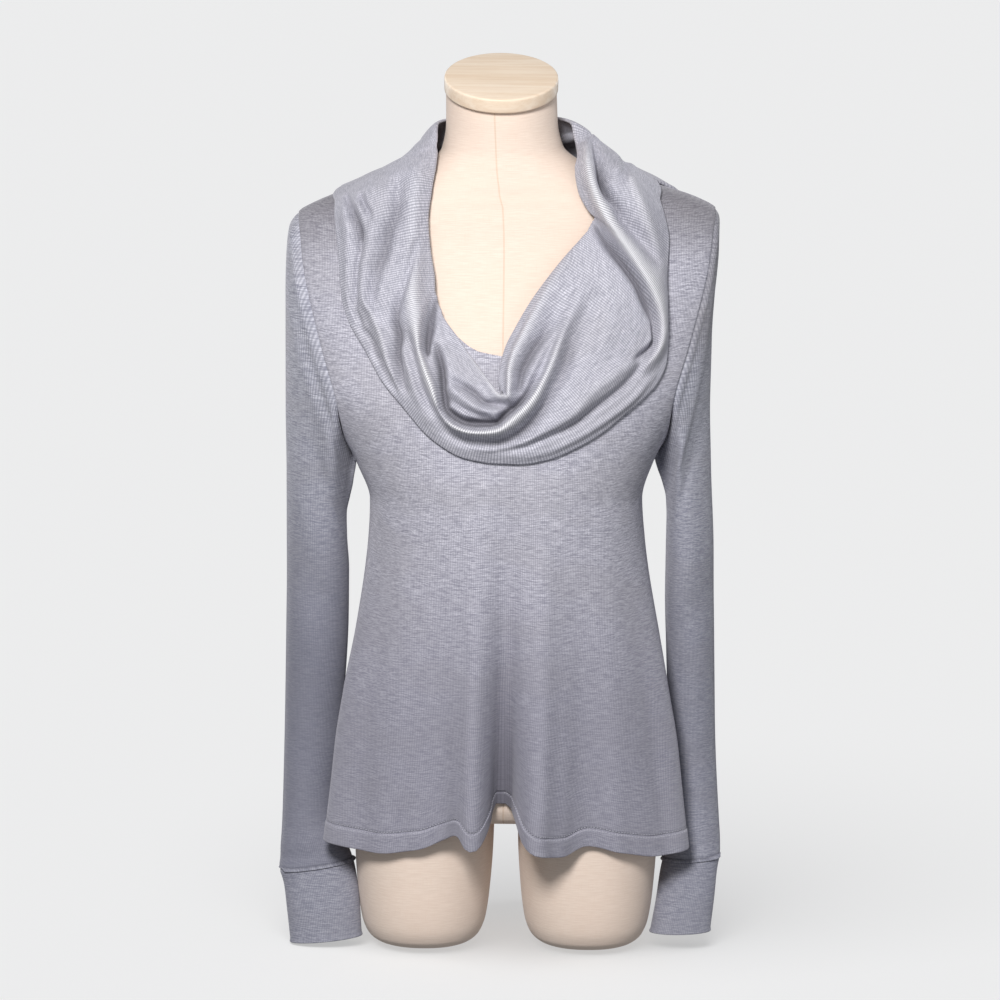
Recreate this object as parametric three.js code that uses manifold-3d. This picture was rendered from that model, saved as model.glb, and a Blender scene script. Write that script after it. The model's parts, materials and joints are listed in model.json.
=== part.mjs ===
// Cowl neck sweater on a dress form.
// Millimetres, +Z up, X to the viewer's right, the front faces -Y.
// The origin is on the surface it stands on, below the middle of its box.
import * as THREE from "three";
import Module from "manifold-3d";
import { mergeVertices } from "three/addons/utils/BufferGeometryUtils.js";

const wasm = await Module();
wasm.setup();

// Driving sizes
const CLOTH = 2; // wall of the single knit
const COWL_CLOTH = 3; // wall of the doubled cowl
const SEAM_GAP = 0.3;
const HEM_FADE = 230; // above this the cloth's rows are level
const HEM_HEIGHT = 105; // where the hem hangs on average, above the drawing's zero
const UNDERARM = 488;
const SHOULDER_TIP = 738;
const FRONT_NECK = 606; // lowest point of the front neckline
const BACK_NECK = 756;
const TILT = 0.02; // the sweater and the shoulders rise a little to the viewer's right
const TILT_FROM = 420; // height at which that rise begins
const TILT_OVER = 80; // and the height over which it grows to its full share
const CAP_RADIUS = 56;
const CAP_THICK = 15;
const CAP_LEAN = 20; // degrees that the neck cap leans to the front
const CAP_MIDDLE = new THREE.Vector3(1, -5, 856.5);
const FLOOR = -5; // height of the thigh ends in the drawing
const ORIGIN = new THREE.Vector3(7.5, -11, FLOOR); // the drawing's point that becomes the origin

const RAD = Math.PI / 180;
const clamp = (v, low = 0, high = 1) => Math.min(high, Math.max(low, v));
const mix = (a, b, t) => a + (b - a) * t;
const smooth = (t) => clamp(t) ** 2 * (3 - 2 * clamp(t));

// A table is read by its first column. Between rows each other column runs as a smooth
// curve that never overshoots its rows. With a period the table closes on itself.
function table(columns, rows, period = 0) {
  const list = period ? [rows.at(-1), ...rows, rows[0], rows[1]].map((r) => [...r]) : rows;
  if (period) {
    list[0][0] -= period;
    list.at(-2)[0] += period;
    list.at(-1)[0] += period;
  }
  const at = list.map((r) => r[0]);
  const slopes = columns.slice(1).map((_, c) => {
    const step = at.slice(1).map((x, i) => (list[i + 1][c + 1] - list[i][c + 1]) / (x - at[i]));
    return at.map((_, i) => {
      if (i === 0) return step[0];
      if (i === at.length - 1) return step[i - 1];
      const [a, b] = [step[i - 1], step[i]];
      return a * b <= 0 ? 0 : (2 * a * b) / (a + b);
    });
  });
  return (where) => {
    let x = where;
    if (period) x = ((((x - rows[0][0]) % period) + period) % period) + rows[0][0];
    x = clamp(x, at[0], at.at(-1));
    let i = 0;
    while (i < at.length - 2 && x > at[i + 1]) i += 1;
    const width = at[i + 1] - at[i];
    const t = (x - at[i]) / width;
    const out = {};
    columns.slice(1).forEach((name, c) => {
      const [a, b] = [list[i][c + 1], list[i + 1][c + 1]];
      out[name] =
        a * (1 + 2 * t) * (1 - t) ** 2 +
        b * t * t * (3 - 2 * t) +
        slopes[c][i] * width * t * (1 - t) ** 2 -
        slopes[c][i + 1] * width * t * t * (1 - t);
    });
    return out;
  };
}

// The outside of the sweater's body, shoulders and neck, ring by ring
const bodyRing = table(
  ["height", "middle", "width", "front", "back", "square"],
  [
    [90, 10, 160, 118, 130, 2.2],
    [200, 11, 160, 122, 126, 2.2],
    [260, 11, 156, 124, 122, 2.2],
    [320, 12, 149, 126, 116, 2.2],
    [412, 11, 138, 129, 108, 2.3],
    [450, 10, 136, 132, 108, 2.4],
    [488, 9, 148, 135, 110, 2.4],
    [517, 9, 163, 135, 112, 2.4],
    [560, 8, 187, 131, 115, 2.4],
    [607, 8, 204, 113, 115, 2.3],
    [650, 8, 213, 95, 112, 2.3],
    [690, 8, 219, 80, 104, 2.3],
    [718, 8, 217, 73, 96, 2.2],
    [738, 8, 206, 69, 86, 2.2],
    [747, 8, 190, 67, 82, 2.2],
    [754, 7, 172, 65, 80, 2.2],
    [761, 6, 150, 64, 77, 2.1],
    [768, 6, 125, 62, 74, 2.1],
    [776, 5, 102, 60, 70, 2],
    [786, 4, 82, 59, 65, 2],
    [800, 4, 67, 58, 61, 2],
    [835, 4, 60, 57, 59, 2],
  ],
);

// How far out the armhole seam and the two necklines lie from the middle
const armhole = table(
  ["height", "reach"],
  [
    [488, 148],
    [517, 160],
    [560, 167],
    [607, 181],
    [690, 201],
    [738, 206],
  ],
);
const frontNeck = table(
  ["height", "reach"],
  [
    [606, 0],
    [612, 28],
    [625, 47],
    [650, 68],
    [700, 90],
    [735, 97],
    [775, 101],
  ],
);
const backNeck = table(
  ["height", "reach"],
  [
    [756, 0],
    [762, 50],
    [768, 82],
    [775, 101],
  ],
);

// Hem heights round the body: 0 degrees is the front middle, 90 the viewer's right
const hemLine = table(
  ["angle", "height"],
  [
    [-90, 111],
    [-72, 107],
    [-48, 105],
    [-30, 112],
    [-20, 124],
    [-14, 131],
    [-9, 118],
    [-4, 136],
    [-1, 155],
    [3, 145],
    [6, 124],
    [10, 114],
    [20, 109],
    [31, 116],
    [45, 108],
    [60, 101],
    [74, 103],
    [90, 107],
    [125, 98],
    [155, 104],
    [180, 94],
    [205, 103],
    [235, 97],
  ],
  360,
);

const FOLD_GROWTH = 1.4; // a fold deepens towards the hem by this power
const FOLD_LIMIT = 1.1; // and a little further below the hem's average height

// Hanging folds of the body: where they are at the hem, how they wander per 100 mm of
// height, their half width in degrees, how far they stand out or in, and where they end
const FOLDS = [
  { angle: -72, wander: 0, spread: 13, push: 27, top: 430 },
  { angle: -48, wander: 1, spread: 11, push: 7, top: 400 },
  { angle: -22, wander: -2, spread: 8, push: -7, top: 470 },
  { angle: -9, wander: -0.6, spread: 5, push: 15, top: 520 },
  { angle: -0.5, wander: 0.2, spread: 4.5, push: -40, top: 500 },
  { angle: 10, wander: 1, spread: 6, push: 14, top: 520 },
  { angle: 30, wander: -1.5, spread: 9, push: -9, top: 480 },
  { angle: 54, wander: -4, spread: 12, push: 10, top: 480 },
  { angle: 73, wander: 0, spread: 13, push: 33, top: 430 },
  { angle: 122, wander: 2, spread: 10, push: 12, top: 400 },
  { angle: 150, wander: 1, spread: 10, push: -9, top: 430 },
  { angle: 176, wander: -1, spread: 11, push: 13, top: 470 },
  { angle: 205, wander: 1, spread: 10, push: -10, top: 420 },
  { angle: 236, wander: -2, spread: 11, push: 12, top: 400 },
];

function foldPush(angle, height) {
  return FOLDS.reduce((sum, fold) => {
    const middle = fold.angle + (fold.wander * (height - HEM_HEIGHT)) / 100;
    const away = ((((angle - middle + 180) % 360) + 360) % 360) - 180;
    const grown = clamp((fold.top - height) / (fold.top - HEM_HEIGHT), 0, FOLD_LIMIT);
    return sum + fold.push * grown ** FOLD_GROWTH * Math.exp(-((away / fold.spread) ** 2));
  }, 0);
}

function ringPoint(ring, angle, height) {
  const [s, c] = [Math.sin(angle * RAD), Math.cos(angle * RAD)];
  const power = 2 / ring.square;
  return new THREE.Vector3(
    ring.middle + ring.width * Math.sign(s) * Math.abs(s) ** power,
    -(c > 0 ? ring.front : ring.back) * Math.sign(c) * Math.abs(c) ** power,
    height,
  );
}

function tilted(p) {
  p.z += TILT * (p.x - ORIGIN.x) * smooth((p.z - TILT_FROM) / TILT_OVER);
  return p;
}

function bodyPoint(angle, height) {
  const p = ringPoint(bodyRing(height), angle, height);
  const push = foldPush(angle, height);
  p.x += push * Math.sin(angle * RAD);
  p.y -= push * Math.cos(angle * RAD);
  return tilted(p);
}

function bodyNormal(angle, height) {
  const [da, dz] = [1, 2];
  const across = bodyPoint(angle + da, height).sub(bodyPoint(angle - da, height));
  const up = bodyPoint(angle, height + dz).sub(bodyPoint(angle, height - dz));
  return across.cross(up).normalize();
}

// The angle on a ring at which it lies a given reach from the middle
function angleAtReach(height, reach) {
  const ring = bodyRing(height);
  return Math.asin(clamp(reach / ring.width) ** (ring.square / 2)) / RAD;
}

// The angle just short of the side where half a seam gap is left
function seamAngle(height, back) {
  const ring = bodyRing(height);
  const depth = back ? ring.back : ring.front;
  return Math.acos((SEAM_GAP / 2 / depth) ** (ring.square / 2)) / RAD;
}

function panelEdge(height, back) {
  const seam = seamAngle(height, back);
  if (height <= UNDERARM || height >= SHOULDER_TIP) return seam;
  return Math.min(seam, angleAtReach(height, armhole(height).reach));
}

function triangles(points, index) {
  const geometry = new THREE.BufferGeometry();
  const position = new Float32Array(points.flatMap((p) => p.toArray()));
  geometry.setAttribute("position", new THREE.BufferAttribute(position, 3));
  geometry.setIndex(index);
  return geometry;
}

// A closed wall from a grid of points: quads lists the corners of each face, with the
// normals pointing out, and the inside lies one thickness behind
function wall(points, normals, quads, thick) {
  const count = points.length;
  const inside = points.map((p, i) => p.clone().addScaledVector(normals[i], -thick));
  const index = [];
  const edges = new Map();
  for (const [a, b, c, d] of quads) {
    index.push(a, b, c, a, c, d);
    index.push(a + count, c + count, b + count, a + count, d + count, c + count);
    for (const [from, to] of [[a, b], [b, c], [c, d], [d, a]]) {
      if (!edges.delete(to + "_" + from)) edges.set(from + "_" + to, [from, to]);
    }
  }
  for (const [from, to] of edges.values()) {
    index.push(from, from + count, to, to, from + count, to + count);
  }
  return triangles([...points, ...inside], index);
}

// Rows of points joined by quads, each row running to the viewer's right when seen from
// outside and the rows running up. A ring's last point joins its first.
function gridQuads(rows, columns, ring = false) {
  const quads = [];
  for (let r = 0; r < rows - 1; r += 1) {
    for (let c = 0; c < columns - (ring ? 0 : 1); c += 1) {
      const next = (c + 1) % columns;
      quads.push([r * columns + c, r * columns + next, (r + 1) * columns + next, (r + 1) * columns + c]);
    }
  }
  return quads;
}

// Normals of a grid from its own points
function gridNormals(points, rows, columns, ring = false) {
  return points.map((_, i) => {
    const [r, c] = [Math.floor(i / columns), i % columns];
    const left = ring ? (c + columns - 1) % columns : Math.max(0, c - 1);
    const right = ring ? (c + 1) % columns : Math.min(columns - 1, c + 1);
    const across = points[r * columns + right].clone().sub(points[r * columns + left]);
    const [low, high] = [Math.max(0, r - 1), Math.min(rows - 1, r + 1)];
    const up = points[high * columns + c].clone().sub(points[low * columns + c]);
    return across.cross(up).normalize();
  });
}

// Heights of the panels' rows. Those between the underarm and the shoulder tip are also
// the points of the sleeves' seam.
const ARM_ROWS = [UNDERARM, 503, 528, 560, FRONT_NECK, 650, 690, 718, SHOULDER_TIP];
const LOW_ROWS = [HEM_HEIGHT, 117, 135, 160, 195, 235, 280, 325, 370, 415, 452];
const TOP_ROWS = [747, 756, 763, 769];

// A panel is two halves that meet in the middle up to the neckline
function panel(back, steps) {
  const rows = [...LOW_ROWS, ...ARM_ROWS, ...TOP_ROWS];
  const neck = back ? backNeck : frontNeck;
  const neckFrom = back ? BACK_NECK : FRONT_NECK;
  const points = [];
  const normals = [];
  const known = new Map();
  const cornerAt = (side, row, step) => {
    const inner = row > neckFrom ? angleAtReach(row, neck(row).reach) : 0;
    const turn = side * mix(inner, panelEdge(row, back), step);
    const angle = back ? 180 - turn : turn;
    const fade = clamp((HEM_FADE - row) / (HEM_FADE - HEM_HEIGHT));
    const height = row + (hemLine(angle).height - HEM_HEIGHT) * fade;
    const key = step === 0 && row <= neckFrom ? "middle_" + row : [side, row, step].join("_");
    if (!known.has(key)) {
      known.set(key, points.length);
      points.push(bodyPoint(angle, height));
      normals.push(bodyNormal(angle, height));
    }
    return known.get(key);
  };
  const quads = [-1, 1].flatMap((side) => {
    const grid = rows.flatMap((row) => steps.map((step) => cornerAt(side, row, step)));
    const found = gridQuads(rows.length, steps.length).map((q) => q.map((i) => grid[i]));
    const runsRight = (side === 1) !== back;
    return runsRight ? found : found.map((quad) => quad.reverse());
  });
  return wall(points, normals, quads, CLOTH);
}

// Sleeves and cuffs are rings in slanting planes. A row gives the outer and the inner
// point of a ring, across and up, its half depth and how far back its middle lies.
const TUBE_COLUMNS = ["ring", "outerX", "outerZ", "innerX", "innerZ", "depth", "backward"];
const SLEEVES = {
  left: table(TUBE_COLUMNS, [
    [0, -198, 738, -139, 488, 58, 4],
    [1, -207, 724, -141, 475, 58, 4],
    [2, -210, 696, -143, 462, 56, 5],
    [3, -211, 655, -146, 448, 53, 6],
    [4, -211, 605, -149, 430, 48, 8],
    [5, -211, 545, -149, 405, 44, 11],
    [6, -210, 475, -147, 370, 40, 14],
    [7, -210, 405, -147, 325, 36, 17],
    [8, -210, 335, -149, 280, 33, 20],
    [9, -211, 265, -152, 235, 30, 23],
    [10, -212, 200, -154, 188, 28, 24],
    [11, -213, 145, -159, 145, 26, 20],
    [12, -214, 105, -159, 118, 24, 13],
    [13, -215, 84, -150, 97, 22, 4],
    [14, -216, 66, -141, 78, 20, -4],
  ]),
  right: table(TUBE_COLUMNS, [
    [0, 214, 738, 157, 488, 58, 4],
    [1, 218, 726, 161, 476, 58, 4],
    [2, 218, 700, 166, 463, 56, 5],
    [3, 215, 658, 170, 448, 53, 6],
    [4, 213, 608, 171, 430, 48, 8],
    [5, 213, 548, 171, 405, 44, 11],
    [6, 215, 478, 171, 370, 40, 14],
    [7, 219, 408, 172, 325, 36, 18],
    [8, 221, 338, 174, 280, 33, 24],
    [9, 223, 268, 176, 235, 30, 28],
    [10, 225, 203, 178, 188, 28, 29],
    [11, 228, 150, 178, 145, 26, 26],
    [12, 230, 115, 177, 118, 24, 18],
    [13, 231, 97, 175, 99, 22, 10],
    [14, 231, 84, 173, 80, 20, 2],
  ]),
};
const CUFFS = {
  left: table(TUBE_COLUMNS, [
    [0, -216, 66, -141, 78, 20, -4],
    [1, -211, 52, -138, 66, 19, -9],
    [2, -207, 26, -134, 42, 18, -19],
    [3, -203, -3, -131, 5, 17, -30],
  ]),
  right: table(TUBE_COLUMNS, [
    [0, 231, 84, 173, 80, 20, 2],
    [1, 228, 70, 170, 67, 19, -4],
    [2, 225, 42, 166, 41, 18, -14],
    [3, 221, 12, 160, 10, 17, -25],
  ]),
};
const ARM_SPAN = SHOULDER_TIP - UNDERARM;
const SLEEVE_RINGS = 15;
const CUFF_RINGS = 4;
const ARMHOLE_RINGS = 5; // rings over which a sleeve turns from the armhole's outline to its own

// The share of the way up the armhole at each point round a sleeve: up the front, down the back
const AROUND = [
  ...ARM_ROWS.map((row) => ({ share: (row - UNDERARM) / ARM_SPAN, face: -1 })),
  ...ARM_ROWS.slice(1, -1).reverse().map((row) => ({ share: (row - UNDERARM) / ARM_SPAN, face: 1 })),
];

// The edge of the armhole on the body, front or back
function armholeEdge(side, { share, face }) {
  const height = UNDERARM + share * ARM_SPAN;
  const turn = side * Math.min(90, angleAtReach(height, armhole(height).reach));
  return [face > 0 ? 180 - turn : turn, height];
}

function armholePoint(side, place) {
  const p = bodyPoint(...armholeEdge(side, place));
  const middle = new THREE.Vector3(p.x, 0, (UNDERARM + SHOULDER_TIP) / 2);
  p.addScaledVector(middle.sub(p).normalize(), SEAM_GAP);
  p.x += side * SEAM_GAP;
  return p;
}

// A ring is an ellipse in its slanting plane
function ellipsePoint(ring, { share, face }) {
  return tilted(
    new THREE.Vector3(
      mix(ring.innerX, ring.outerX, share),
      ring.backward + face * ring.depth * 2 * Math.sqrt(share * (1 - share)),
      mix(ring.innerZ, ring.outerZ, share),
    ),
  );
}

// Near the shoulder a ring keeps some of the armhole's own outline
function sleevePoint(side, read, r, place) {
  const kept = clamp(1 - r / ARMHOLE_RINGS);
  const bend = armholePoint(side, place).sub(ellipsePoint(read(0), place));
  return ellipsePoint(read(r), place).addScaledVector(bend, kept);
}

// Ends of a tube are cut square, so that two tubes meet face to face
function squareEnd(normals, ring) {
  const along = new THREE.Vector3(ring.outerX - ring.innerX, 0, ring.outerZ - ring.innerZ);
  const axis = along.cross(new THREE.Vector3(0, 1, 0)).normalize();
  return normals.map((n) => n.clone().addScaledVector(axis, -n.dot(axis)).normalize());
}

function tube(side, read, rings, atArmhole) {
  const around = side > 0 ? AROUND : [...AROUND].reverse();
  const points = [];
  for (let r = rings - 1; r >= 0; r -= 1) {
    for (const place of around) {
      points.push(atArmhole ? sleevePoint(side, read, r, place) : ellipsePoint(read(r), place));
    }
  }
  const top = points.length - around.length;
  if (!atArmhole) points.slice(top).forEach((p) => (p.z -= SEAM_GAP));
  const normals = gridNormals(points, rings, around.length, true);
  const low = squareEnd(normals.slice(0, around.length), read(rings - 1));
  const between = (place, own) => {
    const body = bodyNormal(...armholeEdge(side, place));
    return body.addScaledVector(own, 1 - place.share).normalize();
  };
  const high = atArmhole
    ? around.map((place, i) => between(place, normals[top + i]))
    : squareEnd(normals.slice(top), read(0));
  normals.splice(0, low.length, ...low);
  normals.splice(top, high.length, ...high);
  return wall(points, normals, gridQuads(rings, around.length, true), CLOTH);
}

// The cowl is one wide band round the neck. Each row is a section across it, named by a
// turn round the neck. In front its two edges are given by how far they lie from the
// drawing's middle and by their height over the sweater, and behind by the turn and their
// height. Lifts say how far the band stands off the sweater. A crease and a roll run round
// the band, and a rolled strip crosses it: their places go from 0 inside to 1 outside.
const COWL_COLUMNS = [
  "turn", "innerX", "innerHeight", "outerX", "outerHeight", "innerLift", "bulge",
  "creaseAt", "crease", "rollAt", "roll", "stripAt", "strip",
];
const COWL_ROWS = [
  [-180, -90, 826, -180, 702, 4, 16, 0.3, 0, 0.45, 0, 0.5, 0],
  [-135, -90, 826, -180, 722, 4, 16, 0.3, 0, 0.45, 0, 0.5, 0],
  [-108, -80, 825, -170, 750, 4, 14, 0.5, 2, 0.45, 0, 0.5, 0],
  [-90, -62, 824, -162, 757, 4, 13, 0.68, 5, 0.25, 3, 0.5, 0],
  [-80, -57, 806, -160, 749, 4, 13, 0.7, 4, 0.3, 3, 0.5, 0],
  [-72, -59, 786, -160, 740, 4, 13, 0.7, 3, 0.35, 4, 0.5, 0],
  [-65, -64, 763, -159, 728, 4, 13, 0.6, 0, 0.38, 4, 0.5, 0],
  [-58, -67, 735, -157, 711, 5, 12, 0.5, 0, 0.4, 5, 0.5, 0],
  [-52, -65, 707, -155, 690, 5, 12, 0.3, 0, 0.4, 6, 0.5, 0],
  [-46, -61, 682, -152, 662, 5, 12, 0.1, 2, 0.38, 7, 0.5, 0],
  [-40, -59, 659, -144, 637, 6, 12, 0.06, 6, 0.34, 8, 0.5, 0],
  [-34, -50, 641, -128, 611, 6, 13, 0.18, 9, 0.36, 9, 0.5, 0],
  [-28, -38, 624, -112, 584, 6, 13, 0.28, 10, 0.48, 9, 0.5, 0],
  [-21, -24, 604, -90, 559, 7, 15, 0.42, 10, 0.62, 9, 0.6, 0],
  [-14, -11, 586, -62, 529, 8, 15, 0.54, 10, 0.7, 9, 0.8, 0],
  [-7, -1, 573, -30, 511, 9, 15, 0.46, 9, 0.64, 9, 0.9, 0],
  [0, 4, 569, -1, 506, 10, 15, 0.37, 9, 0.54, 9, 0.9, 0],
  [6, 4, 571, 25, 505, 10, 15, 0.31, 8, 0.5, 9, 0.9, 0],
  [12, 0, 583, 50, 509, 10, 15, 0.28, 8, 0.46, 9, 0.9, 0],
  [18, 2, 598, 76, 519, 9, 15, 0.27, 6, 0.42, 9, 0.9, 0],
  [24, 8, 617, 100, 532, 8, 15, 0.26, 4, 0.4, 9, 0.9, 3],
  [30, 17, 634, 121, 548, 7, 15, 0.24, 3, 0.36, 9, 0.88, 5],
  [36, 30, 656, 142, 564, 6, 15, 0.2, 2, 0.32, 9, 0.84, 7],
  [42, 46, 678, 155, 577, 6, 14, 0.1, 0, 0.26, 7, 0.76, 9],
  [48, 64, 700, 163.5, 597, 5, 14, 0.1, 0, 0.2, 5, 0.78, 10],
  [53, 80, 717, 165, 622, 5, 13, 0.1, 0, 0.2, 3, 0.54, 11],
  [57, 90, 729, 165, 648, 5, 13, 0.1, 0, 0.4, 4, 0.14, 10],
  [61, 92, 735, 164, 670, 5, 14, 0.1, 0, 0.34, 5, 0.06, 6],
  [65, 86, 741, 165, 691, 5, 15, 0.5, 3, 0.26, 5, 0.04, 3],
  [70, 79, 752, 166, 712, 5, 16, 0.34, 5, 0.18, 5, 0.02, 0],
  [75, 74, 764, 162, 733, 5, 17, 0.26, 6, 0.12, 5, 0.2, 0],
  [80, 71, 780, 157, 748, 4, 18, 0.26, 6, 0.12, 5, 0.2, 0],
  [84, 69, 797, 154, 756, 4, 20, 0.3, 5, 0.12, 4, 0.5, 0],
  [87, 70, 811, 152.5, 760, 4.5, 21, 0.3, 5, 0.14, 4, 0.5, 0],
  [90, 72, 824, 158, 762, 4, 21, 0.32, 4, 0.2, 4, 0.5, 0],
  [108, 90, 825, 170, 753, 4, 18, 0.5, 0, 0.4, 2, 0.5, 0],
  [135, 90, 826, 180, 722, 4, 16, 0.3, 0, 0.45, 0, 0.5, 0],
];
const cowlSection = table(COWL_COLUMNS, COWL_ROWS, 360);
const COWL_EDGE_LIFT = COWL_CLOTH + 1.3;
const CREASE_WIDTH = 0.08;
const ROLL_WIDTH = 0.14;
const COWL_STATIONS = 84;
const COWL_ACROSS = 19;
const COWL_FRONT_SHARE = 0.72; // share of the stations between the two shoulders
const bell = (x, middle, width) => Math.exp(-(((x - middle) / width) ** 2));

function stationTurn(share) {
  const back = (1 - COWL_FRONT_SHARE) / 2;
  if (share < back) return mix(-180, -90, share / back);
  if (share > 1 - back) return mix(180, 90, (1 - share) / back);
  return mix(-90, 90, (share - back) / COWL_FRONT_SHARE);
}

// The angle at which an edge lies on the body
function edgeAngle(turn, x, height) {
  if (Math.abs(turn) >= 90) return turn;
  const reach = x - bodyRing(height).middle;
  return Math.sign(reach) * angleAtReach(height, Math.abs(reach));
}

function cowlPoint(turn, across) {
  const row = cowlSection(turn);
  const inner = edgeAngle(turn, row.innerX, row.innerHeight);
  const outer = edgeAngle(turn, row.outerX, row.outerHeight);
  const angle = mix(inner, outer, across);
  const height = mix(row.innerHeight, row.outerHeight, across);
  const free = Math.sin(Math.PI * across ** 0.8);
  const lift =
    mix(row.innerLift, COWL_EDGE_LIFT, across) +
    row.bulge * free +
    row.roll * bell(across, row.rollAt, ROLL_WIDTH) -
    row.crease * bell(across, row.creaseAt, CREASE_WIDTH) -
    row.strip * bell(across, row.stripAt, CREASE_WIDTH);
  const normal = bodyNormal(angle, height);
  return bodyPoint(angle, height).addScaledVector(normal, Math.max(lift, COWL_EDGE_LIFT));
}

// Each quad is split along the diagonal that lies closer to the cloth at its middle
function cowl() {
  const place = (station, a) => cowlPoint(stationTurn(station / COWL_STATIONS), a / (COWL_ACROSS - 1));
  const points = [];
  for (let a = COWL_ACROSS - 1; a >= 0; a -= 1) {
    for (let s = 0; s < COWL_STATIONS; s += 1) points.push(place(s, a));
  }
  const halfway = (i, j) => points[i].clone().lerp(points[j], 0.5);
  const quads = gridQuads(COWL_ACROSS, COWL_STATIONS, true).map(([a, b, c, d]) => {
    const row = Math.floor(a / COWL_STATIONS);
    const middle = place((a % COWL_STATIONS) + 0.5, COWL_ACROSS - 1.5 - row);
    const closer = halfway(a, c).distanceTo(middle) <= halfway(b, d).distanceTo(middle);
    return closer ? [a, b, c, d] : [b, c, d, a];
  });
  const normals = gridNormals(points, COWL_ACROSS, COWL_STATIONS, true);
  return wall(points, normals, quads, COWL_CLOTH);
}

// The dress form: one smooth torso, cut across the neck, on two thigh ends
const TORSO_ROWS = [
  [128, 13, 118, 60, 70, 2.2, 0],
  [134, 13, 136, 69, 86, 2.2, 0],
  [146, 13, 147, 76, 98, 2.2, 0],
  [170, 13, 151, 80, 110, 2.2, 0],
  [205, 12, 152, 86, 114, 2.2, 0],
  [250, 12, 150, 93, 109, 2.2, 0],
  [300, 11, 140, 98, 97, 2.2, 0],
  [350, 11, 124, 96, 84, 2.2, 0],
  [400, 10, 113, 93, 77, 2.2, 0],
  [450, 9, 117, 104, 84, 2.3, 0],
  [500, 9, 127, 118, 95, 2.4, 0],
  [540, 8, 132, 124, 103, 2.4, 0],
  [575, 8, 137, 120, 108, 2.4, 0],
  [607, 8, 144, 105, 109, 2.3, 0],
  [650, 8, 160, 87, 106, 2.3, 0],
  [690, 8, 180, 74, 98, 2.3, 0],
  [715, 8, 192, 68, 90, 2.2, 0],
  [735, 8, 196, 65, 81, 2.2, 0],
  [744.6, 8, 187, 63, 78, 2.2, 0],
  [751.6, 7, 170, 62, 75, 2.2, 0],
  [758.6, 6, 148, 60, 71, 2.1, 0],
  [765.6, 6, 123, 59, 67, 2.1, 0],
  [773.6, 5, 100, 57, 66, 2, 0],
  [783, 4, 80, 55, 61, 2, 0],
  [800, 3, 60, 52, 56, 2, 0],
  [825, 2, 55, 52, 54, 2, 0.3],
  [856.2, 1, 54.5, 51, 54, 2, 1],
];
const torsoRing = table(
  ["height", "middle", "width", "front", "back", "square", "lean"],
  TORSO_ROWS,
);
const TORSO_COLUMNS = 24;
const THIGH_ROWS = [
  [FLOOR, 40, 45, 45],
  [FLOOR + 3, 50, 57, 57],
  [FLOOR + 11, 58, 69, 67],
  [20, 63, 76, 73],
  [50, 67, 81, 77],
  [95, 70, 85, 81],
  [140, 71, 87, 85],
  [190, 68, 84, 88],
];
const thighRing = table(["height", "width", "front", "back"], THIGH_ROWS);
const THIGH_COLUMNS = 20;
const THIGH_APART = 82.5; // from the middle of the form to the middle of each thigh
const THIGH_MIDDLE = 13.5;

// A closed solid through rings of points, with flat ends
function loft(rings) {
  const columns = rings[0].length;
  const middle = (ring) => {
    const sum = ring.reduce((total, p) => total.add(p), new THREE.Vector3());
    return sum.divideScalar(columns);
  };
  const points = [...rings.flat(), middle(rings[0]), middle(rings.at(-1))];
  const index = gridQuads(rings.length, columns, true).flatMap(([a, b, c, d]) => [a, b, c, a, c, d]);
  const [bottom, top] = [points.length - 2, points.length - 1];
  const last = (rings.length - 1) * columns;
  for (let c = 0; c < columns; c += 1) {
    const next = (c + 1) % columns;
    index.push(bottom, next, c, top, last + c, last + next);
  }
  return triangles(points, index);
}

const circle = (count, make) => Array.from({ length: count }, (_, i) => make(-180 + (360 * i) / count));

function torso() {
  return loft(
    TORSO_ROWS.map(([height]) => {
      const ring = torsoRing(height);
      return circle(TORSO_COLUMNS, (angle) => {
        const p = tilted(ringPoint(ring, angle, height));
        p.z -= TILT * (p.x - ORIGIN.x) * ring.lean;
        p.z += ring.lean * Math.tan(CAP_LEAN * RAD) * (p.y - CAP_MIDDLE.y);
        return p;
      });
    }),
  );
}

function thigh(side) {
  return loft(
    THIGH_ROWS.map(([height]) => {
      const ring = { ...thighRing(height), middle: THIGH_MIDDLE + side * THIGH_APART, square: 2.2 };
      return circle(THIGH_COLUMNS, (angle) => ringPoint(ring, angle, height));
    }),
  );
}

function solid(geometry) {
  const merged = mergeVertices(geometry, 1e-4);
  return new wasm.Manifold(
    new wasm.Mesh({
      numProp: 3,
      vertProperties: new Float32Array(merged.attributes.position.array),
      triVerts: new Uint32Array(merged.index.array),
    }),
  );
}

function dressForm() {
  const joined = solid(torso()).add(solid(thigh(-1))).add(solid(thigh(1)));
  const mesh = joined.getMesh();
  const geometry = new THREE.BufferGeometry();
  geometry.setAttribute("position", new THREE.BufferAttribute(mesh.vertProperties, 3));
  geometry.setIndex(new THREE.BufferAttribute(mesh.triVerts, 1));
  return geometry;
}

// The turned wooden cap on the neck
const CAP_EDGE = 1.5; // rounding of its rims
function neckCap() {
  const profile = [
    [0, 0],
    [CAP_RADIUS - 2 * CAP_EDGE, 0],
    [CAP_RADIUS, CAP_EDGE],
    [CAP_RADIUS, CAP_THICK - CAP_EDGE],
    [CAP_RADIUS - CAP_EDGE, CAP_THICK],
    [0, CAP_THICK],
  ].map(([across, up]) => new THREE.Vector2(across, up));
  return new THREE.LatheGeometry(profile, 40).rotateX(Math.PI / 2);
}

const KNIT = { color: 0xa9a9b2, roughness: 0.85, metalness: 0 };
const LINEN = { color: 0xe9d5bb, roughness: 0.9, metalness: 0 };
const WOOD = { color: 0xdcc3a0, roughness: 0.6, metalness: 0 };

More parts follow.
